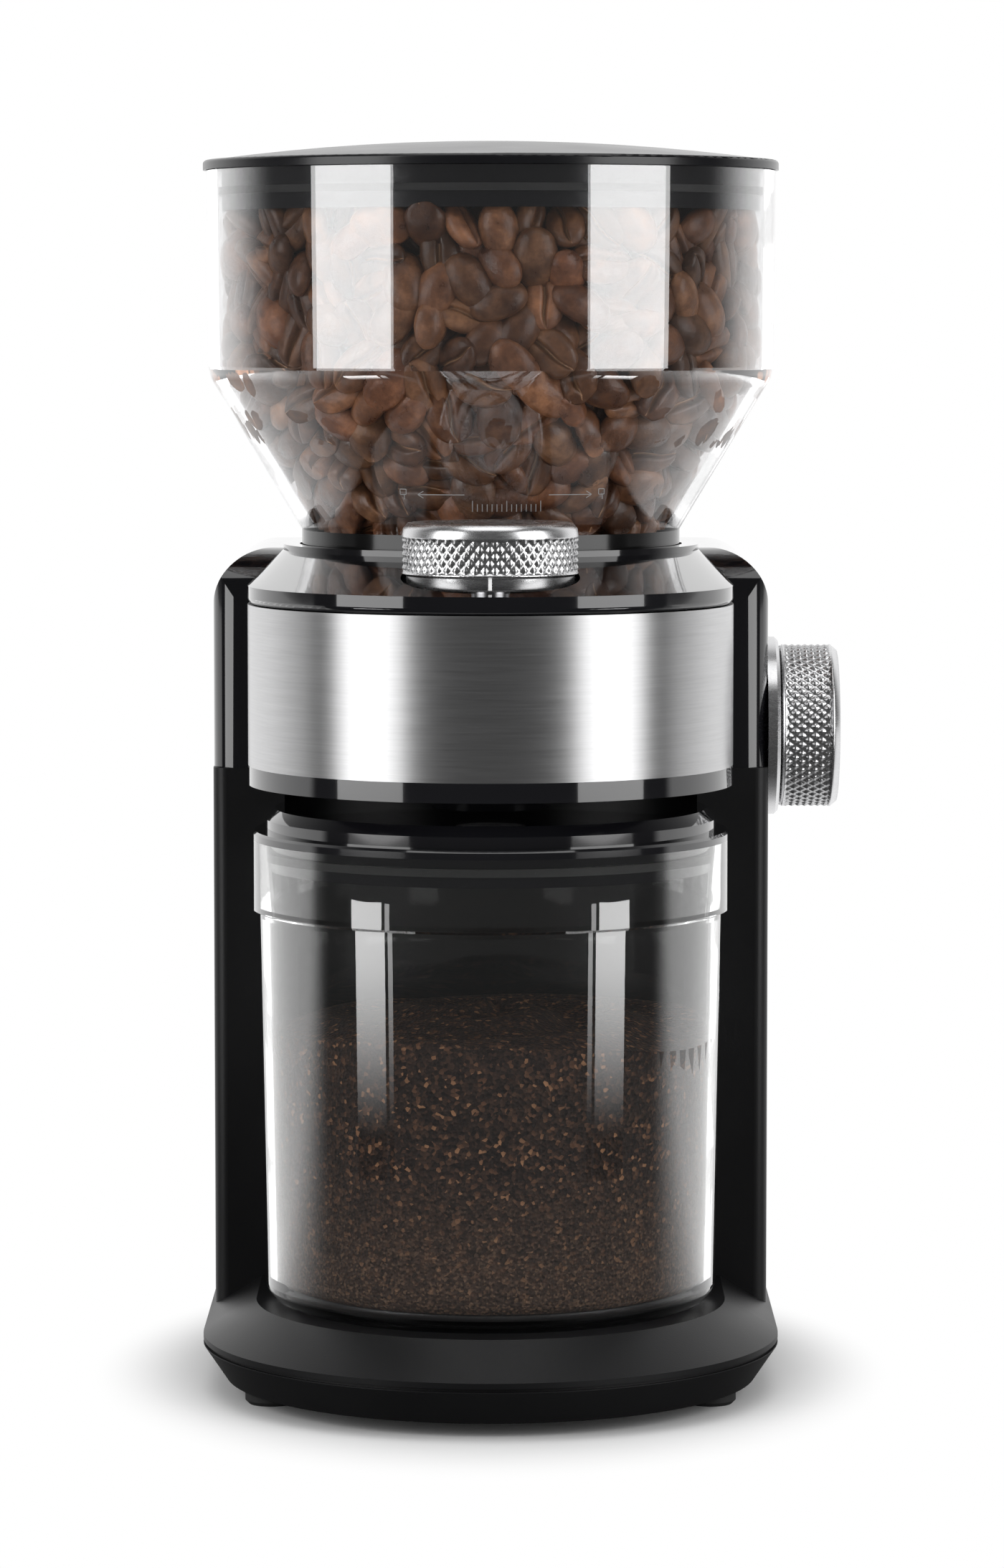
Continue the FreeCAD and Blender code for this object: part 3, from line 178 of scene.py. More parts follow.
def clear(name, tint, rough, ior, smear, gloss, glossy_above=None, dark_below=None):
    """Clear wall. Shadow and diffuse rays go straight through, so light reaches what it holds.

    With glossy_above, the wall's hard gloss is full above that height and weak below it.
    With dark_below, the wall is black up to that height: it stands in for the black funnel inside the
    neck, and partly it is a painted dark reflection of the deck.
    """
    made, tree, shader, output = new_material(name)
    where = place(tree)
    patch = noise(tree, where, 40.0, 3.0)
    tree.links.new(ramp(tree, patch, [(0.35, rough), (0.75, rough + smear)]),
                   shader.inputs["Roughness"])
    shader.inputs["Base Color"].default_value = (*tint, 1)
    shader.inputs["Transmission Weight"].default_value = 1.0
    shader.inputs["IOR"].default_value = ior
    finish_values(shader, Coat_Weight=1.0, Coat_IOR=gloss, Coat_Roughness=0.0)
    if glossy_above:
        height = node(tree, "ShaderNodeSeparateXYZ", i0=where)
        weight = node(tree, "ShaderNodeMapRange", i0=height.outputs[2])
        for socket, value in zip(range(1, 5), (glossy_above - 0.001, glossy_above, 0.12, 1.0)):
            weight.inputs[socket].default_value = value
        tree.links.new(weight.outputs[0], shader.inputs["Coat Weight"])
    path = tree.nodes.new("ShaderNodeLightPath")
    either = node(tree, "ShaderNodeMath", {"operation": "MAXIMUM"},
                  i0=path.outputs["Is Shadow Ray"], i1=path.outputs["Is Diffuse Ray"])
    through = tree.nodes.new("ShaderNodeBsdfTransparent")
    through.inputs[0].default_value = (*[t * 0.97 for t in tint], 1)
    mix = node(tree, "ShaderNodeMixShader", i0=either.outputs[0], i1=shader.outputs[0],
               i2=through.outputs[0])
    # Black neck: partly a stand-in for the black funnel inside, partly a painted dark reflection of
    # the deck.
    if dark_below:
        black = tree.nodes.new("ShaderNodeBsdfPrincipled")
        black.inputs["Base Color"].default_value = (0.004, 0.004, 0.004, 1)
        black.inputs["Roughness"].default_value = 0.12
        lower = node(tree, "ShaderNodeMath", {"operation": "LESS_THAN"},
                     i0=height.outputs[2], i1=dark_below)
        mix = node(tree, "ShaderNodeMixShader", i0=lower.outputs[0], i1=mix.outputs[0],
                   i2=black.outputs[0])
    tree.links.new(mix.outputs[0], output.inputs["Surface"])
    return made


def bean_material():
    """Roasted bean. The point colours hold its tone (r, g) and its pale crease (b)."""
    made, tree, shader, _ = new_material("roasted_bean")
    where = place(tree)
    patch = noise(tree, where, 190.0, 4.0, 0.65)
    tone = tree.nodes.new("ShaderNodeVertexColor")
    tone.layer_name = "tone"
    parts = node(tree, "ShaderNodeSeparateColor", i0=tone.outputs[0])
    tint = node(tree, "ShaderNodeCombineColor", i0=parts.outputs[0], i1=parts.outputs[1],
                i2=parts.outputs[1])
    colour = ramp(tree, patch, [(0.25, (0.034, 0.013, 0.007)), (0.5, (0.105, 0.044, 0.020)),
                                (0.8, (0.26, 0.118, 0.053))])
    mixed = node(tree, "ShaderNodeMix", {"data_type": "RGBA", "blend_type": "MULTIPLY"})
    mixed.inputs[0].default_value = 1.0
    tree.links.new(colour, mixed.inputs[6])
    tree.links.new(tint.outputs[0], mixed.inputs[7])
    creased = node(tree, "ShaderNodeMix", {"data_type": "RGBA"})
    depth = node(tree, "ShaderNodeMath", {"operation": "POWER"}, i0=parts.outputs[2], i1=4.0)
    tree.links.new(depth.outputs[0], creased.inputs[0])
    tree.links.new(mixed.outputs[2], creased.inputs[6])
    creased.inputs[7].default_value = (0.42, 0.24, 0.13, 1)
    tree.links.new(creased.outputs[2], shader.inputs["Base Color"])
    tree.links.new(ramp(tree, patch, [(0.3, 0.26), (0.8, 0.42)]), shader.inputs["Roughness"])
    fine = noise(tree, where, 900.0, 4.0, 0.65)
    bump(tree, shader, fine, 0.6, 0.00022)
    return made


def grounds_material():
    """Ground coffee: mixed dark, brown and reddish particles."""
    made, tree, shader, _ = new_material("ground_coffee")
    where = place(tree)
    big = node(tree, "ShaderNodeTexVoronoi", Vector=where, Scale=1350.0)
    small = node(tree, "ShaderNodeTexVoronoi", Vector=where, Scale=2100.0)
    pick = node(tree, "ShaderNodeSeparateColor", i0=big.outputs["Color"])
    pick_small = node(tree, "ShaderNodeSeparateColor", i0=small.outputs["Color"])
    base = ramp(tree, pick.outputs[0], [
        (0.0, (0.004, 0.002, 0.002)), (0.5, (0.014, 0.007, 0.005)),
        (0.8, (0.035, 0.017, 0.010)), (0.95, (0.09, 0.040, 0.020)), (1.0, (0.26, 0.13, 0.065))])
    lower_tone = ramp(tree, pick_small.outputs[0], [
        (0.0, (0.018, 0.011, 0.008)), (0.7, (0.060, 0.036, 0.026)), (1.0, (0.16, 0.095, 0.06))])
    # Lighter, smaller particles towards the bottom of the jar, darker ones higher up.
    height = node(tree, "ShaderNodeSeparateXYZ", i0=where)
    low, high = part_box("jar")
    fall = node(tree, "ShaderNodeMapRange", i0=height.outputs[2])
    fall.inputs[1].default_value = low.z
    fall.inputs[2].default_value = low.z + 0.35 * (high.z - low.z)
    fall.inputs[3].default_value = 0.9
    fall.inputs[4].default_value = 0.08
    mixed = node(tree, "ShaderNodeMix", {"data_type": "RGBA"}, i0=fall.outputs[0])
    tree.links.new(base, mixed.inputs[6])
    tree.links.new(lower_tone, mixed.inputs[7])
    tree.links.new(mixed.outputs[2], shader.inputs["Base Color"])
    shader.inputs["Roughness"].default_value = 0.75
    shader.inputs["Specular IOR Level"].default_value = 0.25
    bump(tree, shader, big.outputs["Distance"], 0.8, 0.0006)
    return made


MATERIALS = {
    "clear_plastic": lambda: clear("clear_plastic", (0.97, 0.97, 0.975), 0.0, 1.46, 0.02, 1.95,
                                   CONE_TOP, NECK_TOP),
    "clear_glass": lambda: clear("clear_glass", (0.965, 0.97, 0.965), 0.0, 1.47, 0.015, 1.6),
    "lid_black": lambda: plastic("lid_black", (0.004, 0.004, 0.005), 0.22, 900, 2e-5),
    "gloss_black": lambda: plastic("gloss_black", (0.003, 0.003, 0.004), 0.08, 250, 5e-6,
                                   0.02, 0.9),
    "satin_black": lambda: plastic("satin_black", (0.0035, 0.0035, 0.004), 0.40, 2200, 4e-5,
                                   0.04, specular=0.30),
    "base_black": lambda: plastic("base_black", (0.004, 0.004, 0.0045), 0.45, 2400, 5e-5,
                                  0.04, specular=0.30),
    "black_rubber": lambda: plastic("black_rubber", (0.012, 0.012, 0.012), 0.75, 1500, 1e-4),
    "seal_silicone": lambda: plastic("seal_silicone", (0.008, 0.008, 0.008), 0.6, 800, 4e-5),
    "brushed_band": lambda: metal("brushed_band", (0.66, 0.66, 0.665), 0.36, (1, 1, 38), 55,
                                  "Z", anisotropy=0.75, contrast=0.16),
    "knob_metal": lambda: metal("knob_metal", (0.80, 0.80, 0.81), 0.27, (1, 1, 6), 260),
    "button_metal": lambda: metal("button_metal", (0.80, 0.80, 0.81), 0.25, (1, 1, 6), 260),
    "dark_ring": lambda: plastic("dark_ring", (0.012, 0.012, 0.012), 0.3, 900, 3e-5),
    "inner_plastic": lambda: plastic("inner_plastic", (0.03, 0.03, 0.032), 0.5, 900, 6e-5),
    "gearbox_alloy": lambda: metal("gearbox_alloy", (0.55, 0.55, 0.57), 0.5, (1, 1, 1), 400),
    "steel": lambda: metal("steel", (0.6, 0.6, 0.62), 0.3, (1, 1, 12), 200),
    "burr_steel": lambda: metal("burr_steel", (0.42, 0.42, 0.44), 0.35, (1, 1, 10), 300),
    "bronze": lambda: metal("bronze", (0.55, 0.36, 0.18), 0.45, (1, 1, 1), 600),
    "pinion_brass": lambda: metal("pinion_brass", (0.72, 0.53, 0.22), 0.3, (1, 1, 10), 300),
    "gear_plastic": lambda: plastic("gear_plastic", (0.78, 0.77, 0.72), 0.45, 900, 4e-5),
    "motor_steel": lambda: metal("motor_steel", (0.5, 0.5, 0.52), 0.38, (1, 1, 5), 200),
    "motor_plastic": lambda: plastic("motor_plastic", (0.02, 0.02, 0.02), 0.5, 900, 5e-5),
    "board_green": lambda: plastic("board_green", (0.02, 0.13, 0.06), 0.35, 700, 3e-5),
    "switch_black": lambda: plastic("switch_black", (0.02, 0.02, 0.02), 0.45, 900, 5e-5),
}
made_materials = {name: make() for name, make in MATERIALS.items()}
for part in frame["record"]["subparts"]:
    obj = NODES[part["node"]]
    obj.data.materials.clear()
    obj.data.materials.append(made_materials[part["material_slot"]])


# ---- mesh helpers ----

def mesh_object(name, verts, faces, material, smooth=True):
    """Links a new mesh object with one material."""
    data = bpy.data.meshes.new(name)
    data.from_pydata([tuple(v) for v in verts], [], [tuple(f) for f in faces])
    data.materials.append(material)
    if smooth:
        data.polygons.foreach_set("use_smooth", [True] * len(data.polygons))
    data.update()
    obj = bpy.data.objects.new(name, data)
    bpy.context.scene.collection.objects.link(obj)
    return obj


def lathe_grid(rings, columns, closed_start=True, closed_end=True):
    """Verts and faces of a turned surface. rings is a list of functions of the angle
    that give (r, z); the ends are capped with one point each."""
    verts = []
    for ring in rings:
        for c in range(columns):
            angle = 2 * math.pi * c / columns
            r, z = ring(angle)
            verts.append((r * math.cos(angle), r * math.sin(angle), z))
    faces = []
    for i in range(len(rings) - 1):
        for c in range(columns):
            d = (c + 1) % columns
            faces.append((i * columns + c, i * columns + d, (i + 1) * columns + d,
                          (i + 1) * columns + c))
    for closed, row, turn in ((closed_start, 0, True), (closed_end, len(rings) - 1, False)):
        if closed:
            verts.append((0, 0, rings[row](0)[1]))
            tip = len(verts) - 1
            for c in range(columns):
                pair = (row * columns + c, row * columns + (c + 1) % columns)
                faces.append((tip, pair[1], pair[0]) if turn else (tip, pair[0], pair[1]))
    return verts, faces


# ---- knurled dials ----

def triangle_wave(t):
    """0 at whole numbers, 1 half way between them."""
    t = t % 1.0
    return 1 - abs(2 * t - 1)


def knurled_dial(name, radius, length, knurl_from, knurl_to, collar_r, button_hole=None):
    """Dial about +Z from z = 0, with a diamond knurl cut into its side.

    The knurl is two crossing sets of V grooves, so its diamonds stand up as pyramids.
    """
    count = 54              # diamonds round the dial
    depth = 0.00062
    pitch_z = 0.00272
    per_diamond = 6         # mesh columns in each
    columns = count * per_diamond
    chamfer = 0.0013

    def knurl_ring(z):
        fade = min(1.0, (z - knurl_from) / 0.0006, (knurl_to - z) / 0.0006)

        def at(angle):
            turn = angle / (2 * math.pi) * count
            a = triangle_wave(turn + z / pitch_z)
            b = triangle_wave(turn - z / pitch_z)
            return radius - depth * (1 - min(a, b)) * max(fade, 0), z
        return at

    def plain(r, z):
        return lambda angle: (r, z)

    rings = [plain(collar_r - 0.0008, 0), plain(collar_r - 0.0002, 0.0001),
             plain(collar_r, 0.0005), plain(collar_r, knurl_from - 0.0006),
             plain(collar_r + 0.0001, knurl_from - 0.0003),
             plain(radius - 0.0001, knurl_from - 0.0001)]
    steps = int((knurl_to - knurl_from) / (pitch_z / 2) * per_diamond)
    for i in range(steps + 1):
        rings.append(knurl_ring(knurl_from + (knurl_to - knurl_from) * i / steps))
    face = length
    rings += [plain(radius, knurl_to + 0.0002), plain(radius - 0.0002, face - chamfer + 0.0001),
              plain(radius - chamfer + 0.0002, face - 0.0001), plain(radius - chamfer - 0.0003, face),
              plain(radius - 0.0040, face), plain(radius - 0.0044, face - 0.0002),
              plain(radius - 0.0052, face - 0.0013), plain(radius - 0.0058, face - 0.0014)]
    if button_hole:
        rings += [plain(button_hole + 0.0002, face - 0.0014), plain(button_hole, face - 0.0016),
                  plain(button_hole, face - 0.0057), plain(0.004, face - 0.0057)]
    else:
        for share in (0.8, 0.55, 0.53, 0.3, 0.1):
            rings.append(plain(radius * share * 0.66, face - 0.0014 + 0.00012 * (share < 0.54)))
    verts, faces = lathe_grid(rings, columns)
    return mesh_object(name, verts, faces, made_materials["knob_metal"])


def add_dials():
    """Knurled top dial with its white line, and knurled side dial."""
    low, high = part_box("dial_knob")
    centre = middle("dial_knob")
    r = (high.x - low.x) / 2
    length = high.z - low.z
    top = knurled_dial("dial_knob_knurled", r, length, 0.0030, length - 0.0028, r - 0.0008, 0.0096)
    top.data.transform(Matrix.Translation((centre.x, centre.y, low.z)))
    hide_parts("dial_knob")
    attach(top, "dial")
    top.visible_glossy = False      # its mirror image would cover the clear cone
    NODES["start_button"].visible_glossy = False
    half_width, half_depth, line_height = 0.00035, 0.00012, 0.0024
    line = mesh_object("dial_index_line",
                       *box_mesh((-half_width, -half_depth, 0), (half_width, half_depth, line_height)),
                       plastic("index_white", (0.85, 0.85, 0.85), 0.4, 500, 1e-5), False)
    line.data.transform(Matrix.Translation((centre.x, centre.y - r + 0.0008, low.z + 0.0003)))
    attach(line, "dial")

    low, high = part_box("side_knob")
    centre = middle("side_knob")
    r = (high.y - low.y) / 2
    length = high.x - low.x
    side = knurled_dial("side_knob_knurled", r, length, 0.0006, length - 0.0016, r - 0.0003)
    side.data.transform(Matrix.Rotation(math.radians(90), 4, "Y"))
    side.data.transform(Matrix.Translation((low.x, centre.y, centre.z)))
    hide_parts("side_knob")
    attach(side, "side_dial")


def box_mesh(low, high):
    """Verts and faces of a box."""
    xs, ys, zs = zip(low, high)
    verts = [(x, y, z) for x in xs for y in ys for z in zs]
    faces = [(0, 1, 3, 2), (4, 6, 7, 5), (0, 4, 5, 1), (2, 3, 7, 6), (0, 2, 6, 4), (1, 5, 7, 3)]
    return verts, faces


# ---- beans ----

def bean_shape():
    """One coffee bean, BEAN_LENGTH long: a domed back and a flat side with a crease.

    Returns its points, quads and how deep in the crease each point lies (0 to 1).
    """
    rows = 16
    half_length, half_width = BEAN_LENGTH / 2, BEAN_WIDTH / 2
    across = [math.cos(math.pi * k / 8) for k in range(9)]
    flat = [-0.82, -0.55, -0.32, -0.20, -0.11, -0.05, 0.0, 0.05, 0.11, 0.20, 0.32, 0.55, 0.82]
    section = [(y, math.sqrt(max(0.0, 1 - y * y))) for y in across]
    section += [(y, None) for y in flat]
    columns = len(section)
    verts, crease = [], []
    for i in range(rows + 1):
        x = -math.cos(math.pi * i / rows)
        wide = math.sqrt(max(0.0, 1 - x * x)) ** 0.85
        wander = 0.10 * math.sin(3.2 * x + 0.5)
        for y, back in section:
            if back is not None:
                verts.append((x * half_length, y * wide * half_width, back * wide * BEAN_HEIGHT))
                crease.append(0.0)
                continue
            cut = math.exp(-(y / 0.105) ** 2)
            belly = -math.sqrt(1 - (abs(y) * 0.93) ** 2.4) * 0.50
            y += wander * (1 - abs(y))
            verts.append((x * half_length, y * wide * half_width,
                          (belly + 0.55 * cut * (1 - x ** 10)) * wide * BEAN_HEIGHT))
            crease.append(cut)
    faces = []
    for i in range(rows):
        for j in range(columns):
            k = (j + 1) % columns
            faces.append((i * columns + j, (i + 1) * columns + j, (i + 1) * columns + k,
                          i * columns + k))
    return np.array(verts), np.array(faces), np.array(crease)


def bean_places(count, wall_r, floor, top):
    """Points packed inside the hopper by pushing apart those that are too close."""
    gap = 0.0074            # between the middles of two beans
    layer_depth = 0.020     # beans fill this much inside the wall
    z = rng.uniform(floor, top, count * 3)
    keep = rng.uniform(0, 1, count * 3) < wall_r(z) / wall_r(np.array([top]))[0]
    z = z[keep][:count]
    outer = wall_r(z)
    r = outer - rng.uniform(0, 1, len(z)) ** 1.4 * layer_depth
    angle = rng.uniform(0, 2 * math.pi, len(z))
    p = np.stack([r * np.cos(angle), r * np.sin(angle), z], 1)
    for _ in range(40):
        d = p[:, None, :] - p[None, :, :]
        dist = np.sqrt((d ** 2).sum(2)) + np.eye(len(p))
        push = np.clip(gap - dist, 0, None) * 0.5
        np.fill_diagonal(push, 0)
        p = p + ((d / dist[:, :, None]) * push[:, :, None]).sum(1) * 0.6
        p[:, 2] = np.clip(p[:, 2], floor, top)
        r = np.hypot(p[:, 0], p[:, 1])
        limit = wall_r(p[:, 2])
        wanted = np.clip(r, limit - layer_depth, limit)
        p[:, :2] *= (wanted / r)[:, None]
    return p


def add_beans():
    """Beans behind the hopper's wall, round a dark core that stands in for the beans further in; its
    dark brown is painted shade.
    """
    low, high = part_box("hopper")
    ring_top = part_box("hopper_ring")[1].z
    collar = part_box("hopper_lid")[0].z
    cylinder_r = (high.x - low.x) / 2 - HOPPER_WALL
    neck_r = cylinder_r - CONE_STEP
    clearance = 0.0044

    def inside(z):
        return np.interp(z, [NECK_TOP + 0.001, CONE_TOP + 0.0005], [neck_r, cylinder_r])

    def wall(z):
        return inside(z) - clearance

    shape, quads, crease = bean_shape()
    p = bean_places(1500, wall, ring_top + 0.002, collar - 0.0035)
    verts, faces, tones = [], [], []
    for i, (x, y, z) in enumerate(p):
        outward = Vector((x, y, 0)).normalized()
        turn = outward.to_track_quat("Z", "Y").to_matrix()
        spin = Matrix.Rotation(rng.uniform(0, 2 * math.pi), 3, "Z")
        tilt = (Matrix.Rotation(rng.normal(0, 0.35), 3, "X")
                @ Matrix.Rotation(rng.normal(0, 0.35), 3, "Y"))
        flip = Matrix.Rotation(math.pi if rng.uniform() < 0.55 else 0, 3, "X")
        m = np.array(turn @ tilt @ spin @ flip) * rng.uniform(0.90, 1.14)
        bean = shape @ m.T + (x, y, z)
        spare = np.minimum(1, (inside(bean[:, 2]) - 0.0004) / np.hypot(bean[:, 0], bean[:, 1]))
        bean[:, :2] *= spare[:, None]
        verts.append(bean + (HOPPER_AXIS.x, HOPPER_AXIS.y, 0))
        faces.append(quads + i * len(shape))
        tone = rng.choice([rng.uniform(0.45, 0.9), rng.uniform(0.8, 1.5)])
        hue = rng.uniform(0.90, 1.06)
        tones.append(np.stack([np.full(len(shape), tone), np.full(len(shape), tone * hue),
                               crease, np.ones(len(shape))], 1))
    verts = np.concatenate(verts)
    data = bpy.data.meshes.new("coffee_beans")
    data.from_pydata(verts.tolist(), [], np.concatenate(faces).tolist())
    data.polygons.foreach_set("use_smooth", [True] * len(data.polygons))
    layer = data.color_attributes.new("tone", "FLOAT_COLOR", "POINT")
    layer.data.foreach_set("color", np.concatenate(tones).ravel())
    data.materials.append(bean_material())
    beans = bpy.data.objects.new("coffee_beans", data)
    bpy.context.scene.collection.objects.link(beans)
    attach(beans, "hopper")

    # The core is painted shade: a dark stand-in for the shaded beans deeper in the hopper.
    def ring(z, r):
        return lambda a: (r + 0.0012 * math.sin(9 * a + z * 900), z)
    rings = [ring(z, float(wall(np.array([z]))[0]) - 0.0095)
             for z in np.linspace(ring_top + 0.001, collar - 0.006, 24)]
    v, f = lathe_grid(rings, 72)
    core = mesh_object("bean_core_painted_shade", v, f,
                       plastic("bean_core_painted_shade", (0.03, 0.012, 0.007), 0.7, 300, 4e-4))
    core.data.transform(Matrix.Translation((HOPPER_AXIS.x, HOPPER_AXIS.y, 0)))
    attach(core, "hopper")


# ---- printed grind scale on the hopper's cone ----

def add_scale():
    """Ticks, two arrows and two lock signs, as thin raised print on the front of the cone."""
    ring_low, ring_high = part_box("hopper_ring")
    hopper_low, hopper_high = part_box("hopper")
    low_r = (ring_high.x - ring_low.x) / 2 + 0.0022
    high_r = (hopper_high.x - hopper_low.x) / 2 - 0.0004
    verts, faces = [], []

    def on_cone(along, z):
        r = float(np.interp(z, [NECK_TOP, CONE_TOP], [low_r, high_r])) + 0.00004
        angle = along / r
        return (r * math.sin(angle), -r * math.cos(angle), z)

    def stroke(along0, z0, along1, z1, width=0.00016):
        """Line between two places on the cone, cut into short quads."""
        run, rise = along1 - along0, z1 - z0
        length = math.hypot(run, rise)
        side = (-rise / length * width / 2, run / length * width / 2)
        steps = max(1, round(length / 0.001))
        first = len(verts)
        for i in range(steps + 1):
            a, z = along0 + run * i / steps, z0 + rise * i / steps
            verts.extend([on_cone(a - side[0], z - side[1]), on_cone(a + side[0], z + side[1])])
        for i in range(steps):
            k = first + 2 * i
            faces.append((k, k + 2, k + 3, k + 1))

    base = NECK_TOP + 0.0050
    first_tick, tick_pitch = -0.0036, 0.00098
    for i in range(15):
        tall = 0.0022 if i % 7 == 0 else 0.0015
        along = first_tick + tick_pitch * i
        stroke(along, base, along, base + tall)
    arrow_z = base + 0.0034
    for start, tip in ((-0.0052, -0.0148), (0.0118, 0.0210)):
        back = 0.0012 if tip < start else -0.0012
        stroke(start, arrow_z, tip, arrow_z)
        stroke(tip + back, arrow_z + 0.0007, tip, arrow_z)
        stroke(tip + back, arrow_z - 0.0007, tip, arrow_z)
    for start in (-0.0186, 0.0226):
        square = [(0, 0), (0.0013, 0), (0.0013, 0.0011), (0, 0.0011), (0, 0)]
        for (a, z), (b, w) in zip(square, square[1:]):
            stroke(start + a, arrow_z + z, start + b, arrow_z + w)
        stroke(start + 0.0009, arrow_z, start + 0.0009, arrow_z - 0.0010)
    scale = mesh_object("grind_scale", verts, faces,
                        plastic("white_print", (0.30, 0.30, 0.30), 0.5, 500, 1e-6), False)
    scale.data.transform(Matrix.Translation((HOPPER_AXIS.x, HOPPER_AXIS.y, 0)))
    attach(scale, "hopper")


# ---- ground coffee ----

def add_grounds():
    """Ground coffee with an uneven top, a little inside the jar's wall."""
    low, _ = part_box("jar")
    floor = low.z + 0.00275
    level = low.z + 0.0560
    heel = 0.0036           # height of the rounding at the foot
    foot_r, top_r = 0.04345, 0.04445
    columns = 180
    phases = rng.uniform(0, 2 * math.pi, 5)

    def lump(angle):
        return sum(0.0009 / (k + 1) * math.sin((k + 2) * angle + phases[k]) for k in range(5))

    rings = [lambda a: (foot_r - 0.0035, floor), lambda a: (foot_r - 0.0012, floor + 0.0008),
             lambda a: (foot_r, floor + heel)]
    for share in np.linspace(0.1, 1.0, 8):
        rings.append(lambda a, s=share: (foot_r + (top_r - foot_r) * s,
                                         floor + heel + (level + lump(a) - floor - heel) * s))
    for share in np.linspace(0.97, 0.05, 22):
        rings.append(lambda a, s=share: (
            top_r * s,
            level + lump(a) * s + 0.0045 * (1 - s) + 0.0010 * math.sin(14 * s + 3 * a)))
    v, f = lathe_grid(rings, columns)
    grounds = mesh_object("ground_coffee", v, f, grounds_material())
    grounds.data.transform(Matrix.Translation((JAR_AXIS.x, JAR_AXIS.y, 0)))
    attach(grounds, "jar")


add_dials()
add_beans()
add_scale()
add_grounds()


# ---- floor, light and camera ----

def backdrop_material():
    """Pale floor that keeps the soft shadow close by and fades to white further out.

    Ahead of the object it looks dark to reflections and from inside the clear parts,
    as an unlit room in front would.
    """
    made, tree, shader, output = new_material("pale_floor")
    coordinates = tree.nodes.new("ShaderNodeTexCoord")
    low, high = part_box("base_tray")
    shares = node(tree, "ShaderNodeMapping", i0=coordinates.outputs["Object"])
    shares.inputs["Scale"].default_value = (2 / (high.x - low.x), 2 / (high.y - low.y), 0)
    length = node(tree, "ShaderNodeVectorMath", {"operation": "LENGTH"}, i0=shares.outputs[0])
    far = node(tree, "ShaderNodeMapRange", {"interpolation_type": "SMOOTHSTEP"},
               i0=length.outputs["Value"], i1=0.95, i2=1.42)
    grain = noise(tree, coordinates.outputs["Object"], 40.0)
    tree.links.new(ramp(tree, grain, [(0.3, 0.90), (0.7, 0.92)]), shader.inputs["Base Color"])
    shader.inputs["Roughness"].default_value = 0.7
    glow = tree.nodes.new("ShaderNodeEmission")
    glow.inputs["Strength"].default_value = 1.0
    mix = node(tree, "ShaderNodeMixShader", i0=far.outputs[0], i1=shader.outputs[0],
               i2=glow.outputs[0])
    path = tree.nodes.new("ShaderNodeLightPath")
    indirect = node(tree, "ShaderNodeMath", {"operation": "MAXIMUM"},
                    i0=path.outputs["Is Glossy Ray"], i1=path.outputs["Is Transmission Ray"])
    dim = tree.nodes.new("ShaderNodeEmission")
    dim.inputs["Strength"].default_value = 0.05
    parts = node(tree, "ShaderNodeSeparateXYZ", i0=coordinates.outputs["Object"])
    ahead = node(tree, "ShaderNodeMapRange", {"interpolation_type": "SMOOTHSTEP"},
                 i0=parts.outputs[1], i1=0.10, i2=-0.06)
    hidden = node(tree, "ShaderNodeMath", {"operation": "MULTIPLY"},
                  i0=indirect.outputs[0], i1=ahead.outputs[0])
    whole = node(tree, "ShaderNodeMixShader", i0=hidden.outputs[0], i1=mix.outputs[0],
                 i2=dim.outputs[0])
    tree.links.new(whole.outputs[0], output.inputs["Surface"])
    return made


def add_floor():
    """Wide flat floor under the base."""
    v, f = box_mesh((-3, -3, -0.02), (3, 3, 0))
    floor = mesh_object("floor", v, f, backdrop_material(), False)
    base = middle("base_tray")
    floor.location = (base.x, base.y, 0)


def set_world():
    """White behind the object; dim in front, so that dark gloss stays dark."""
    world = bpy.data.worlds.new("studio")
    bpy.context.scene.world = world
    world.use_nodes = True
    tree = world.node_tree
    background = tree.nodes["Background"]
    coordinates = tree.nodes.new("ShaderNodeTexCoord")
    direction = node(tree, "ShaderNodeSeparateXYZ", i0=coordinates.outputs["Generated"])
    behind = node(tree, "ShaderNodeMapRange", {"interpolation_type": "SMOOTHSTEP"},
                  i0=direction.outputs[1], i1=0.15, i2=0.70, i3=0.05, i4=1.0)
    path = tree.nodes.new("ShaderNodeLightPath")
    sharp = node(tree, "ShaderNodeMath", {"operation": "MAXIMUM"},
                 i0=path.outputs["Is Glossy Ray"], i1=path.outputs["Is Transmission Ray"])
    gloss = node(tree, "ShaderNodeMix", {"data_type": "FLOAT"}, i0=sharp.outputs[0])
    gloss.inputs[2].default_value = 0.42
    tree.links.new(behind.outputs[0], gloss.inputs[3])
    level = node(tree, "ShaderNodeMix", {"data_type": "FLOAT"}, i0=path.outputs["Is Camera Ray"])
    tree.links.new(gloss.outputs[0], level.inputs[2])
    level.inputs[3].default_value = 1.0
    tree.links.new(level.outputs[0], background.inputs["Strength"])
    background.inputs["Color"].default_value = (1, 1, 1, 1)


def softbox(name, azimuth, elevation, distance, width, height, power):
    """Area lamp aimed at the object's middle. Azimuth 0 is in front, + to the right."""
    lamp = bpy.data.lights.new(name, "AREA")
    lamp.shape = "RECTANGLE"
    lamp.size = width
    lamp.size_y = height
    lamp.energy = power
    obj = bpy.data.objects.new(name, lamp)
    bpy.context.scene.collection.objects.link(obj)
    a, e = math.radians(azimuth), math.radians(elevation)
    aim = Vector((HOPPER_AXIS.x, HOPPER_AXIS.y, 0.13))
    out = Vector((math.sin(a) * math.cos(e), -math.cos(a) * math.cos(e), math.sin(e)))
    obj.location = aim + out * distance
    obj.rotation_euler = out.to_track_quat("Z", "Y").to_euler()


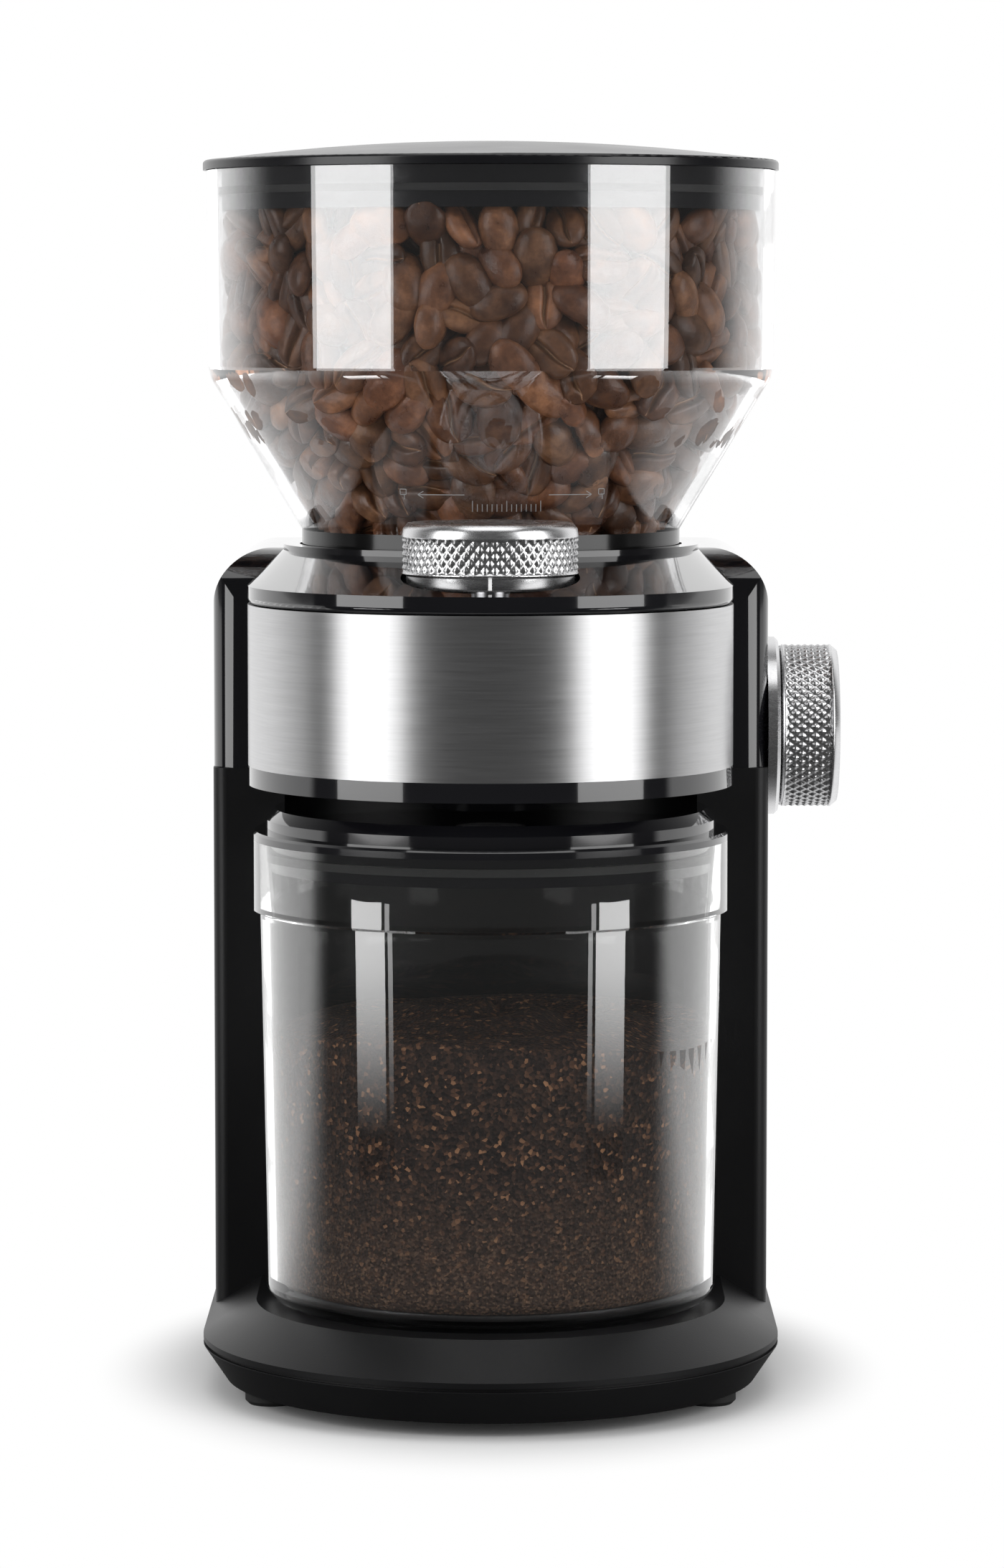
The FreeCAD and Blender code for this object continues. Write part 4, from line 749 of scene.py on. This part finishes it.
def add_lights():
    """Two tall side boxes, one above, and the jar's cards."""
    distance, card_distance, card_height = 1.2, 0.30, 0.0765
    softbox("left_softbox", -57, 12, distance, 0.77, 1.3, 9.5)
    softbox("right_softbox", 57, 12, distance, 0.77, 1.3, 9.5)
    softbox("top_softbox", 0, 78, distance, 1.0, 0.8, 4.0)
    for side in (-1, 1):
        glow_card("jar_card", side * 57.0, card_distance, 0.082, card_height, 6.0)
        glow_card("jar_card_edge", side * 46.5, card_distance, 0.012, card_height, 3.0)


def glow_card(name, azimuth, distance, width, height, strength):
    """Low bright card on the floor, seen only in the jar's gloss. It dims downwards."""
    made, tree, _, output = new_material(name)
    coordinates = tree.nodes.new("ShaderNodeTexCoord")
    parts = node(tree, "ShaderNodeSeparateXYZ", i0=coordinates.outputs["Object"])
    fade = node(tree, "ShaderNodeMapRange", {"interpolation_type": "SMOOTHSTEP"},
                i0=parts.outputs[2], i1=0.12 * height, i2=0.80 * height, i3=0.0, i4=strength)
    glow = node(tree, "ShaderNodeEmission", Strength=fade.outputs[0])
    tree.links.new(glow.outputs[0], output.inputs["Surface"])
    half = width / 2
    card = mesh_object(name, [(-half, 0, 0), (half, 0, 0), (half, 0, height), (-half, 0, height)],
                       [(0, 1, 2, 3)], made, False)
    a = math.radians(azimuth)
    card.location = (JAR_AXIS.x + distance * math.sin(a), JAR_AXIS.y - distance * math.cos(a), 0)
    card.rotation_euler = (0, 0, a)
    card.visible_camera = False
    card.visible_diffuse = False
    card.visible_transmission = False
    card.visible_shadow = False


def add_camera():
    """Camera a little above the object's middle, tipped down, long lens."""
    camera = bpy.data.cameras.new("camera")
    camera.lens = 127.8
    camera.sensor_width = 36.0
    camera.clip_start = 0.05
    obj = bpy.data.objects.new("camera", camera)
    bpy.context.scene.collection.objects.link(obj)
    obj.location = (HOPPER_AXIS.x + 0.0023, HOPPER_AXIS.y - 1.1545, 0.2194)
    obj.rotation_euler = (math.radians(90 - 4.87), 0, 0)
    bpy.context.scene.camera = obj


add_floor()
set_world()
add_lights()
add_camera()
bpy.context.scene.view_settings.view_transform = "Standard"
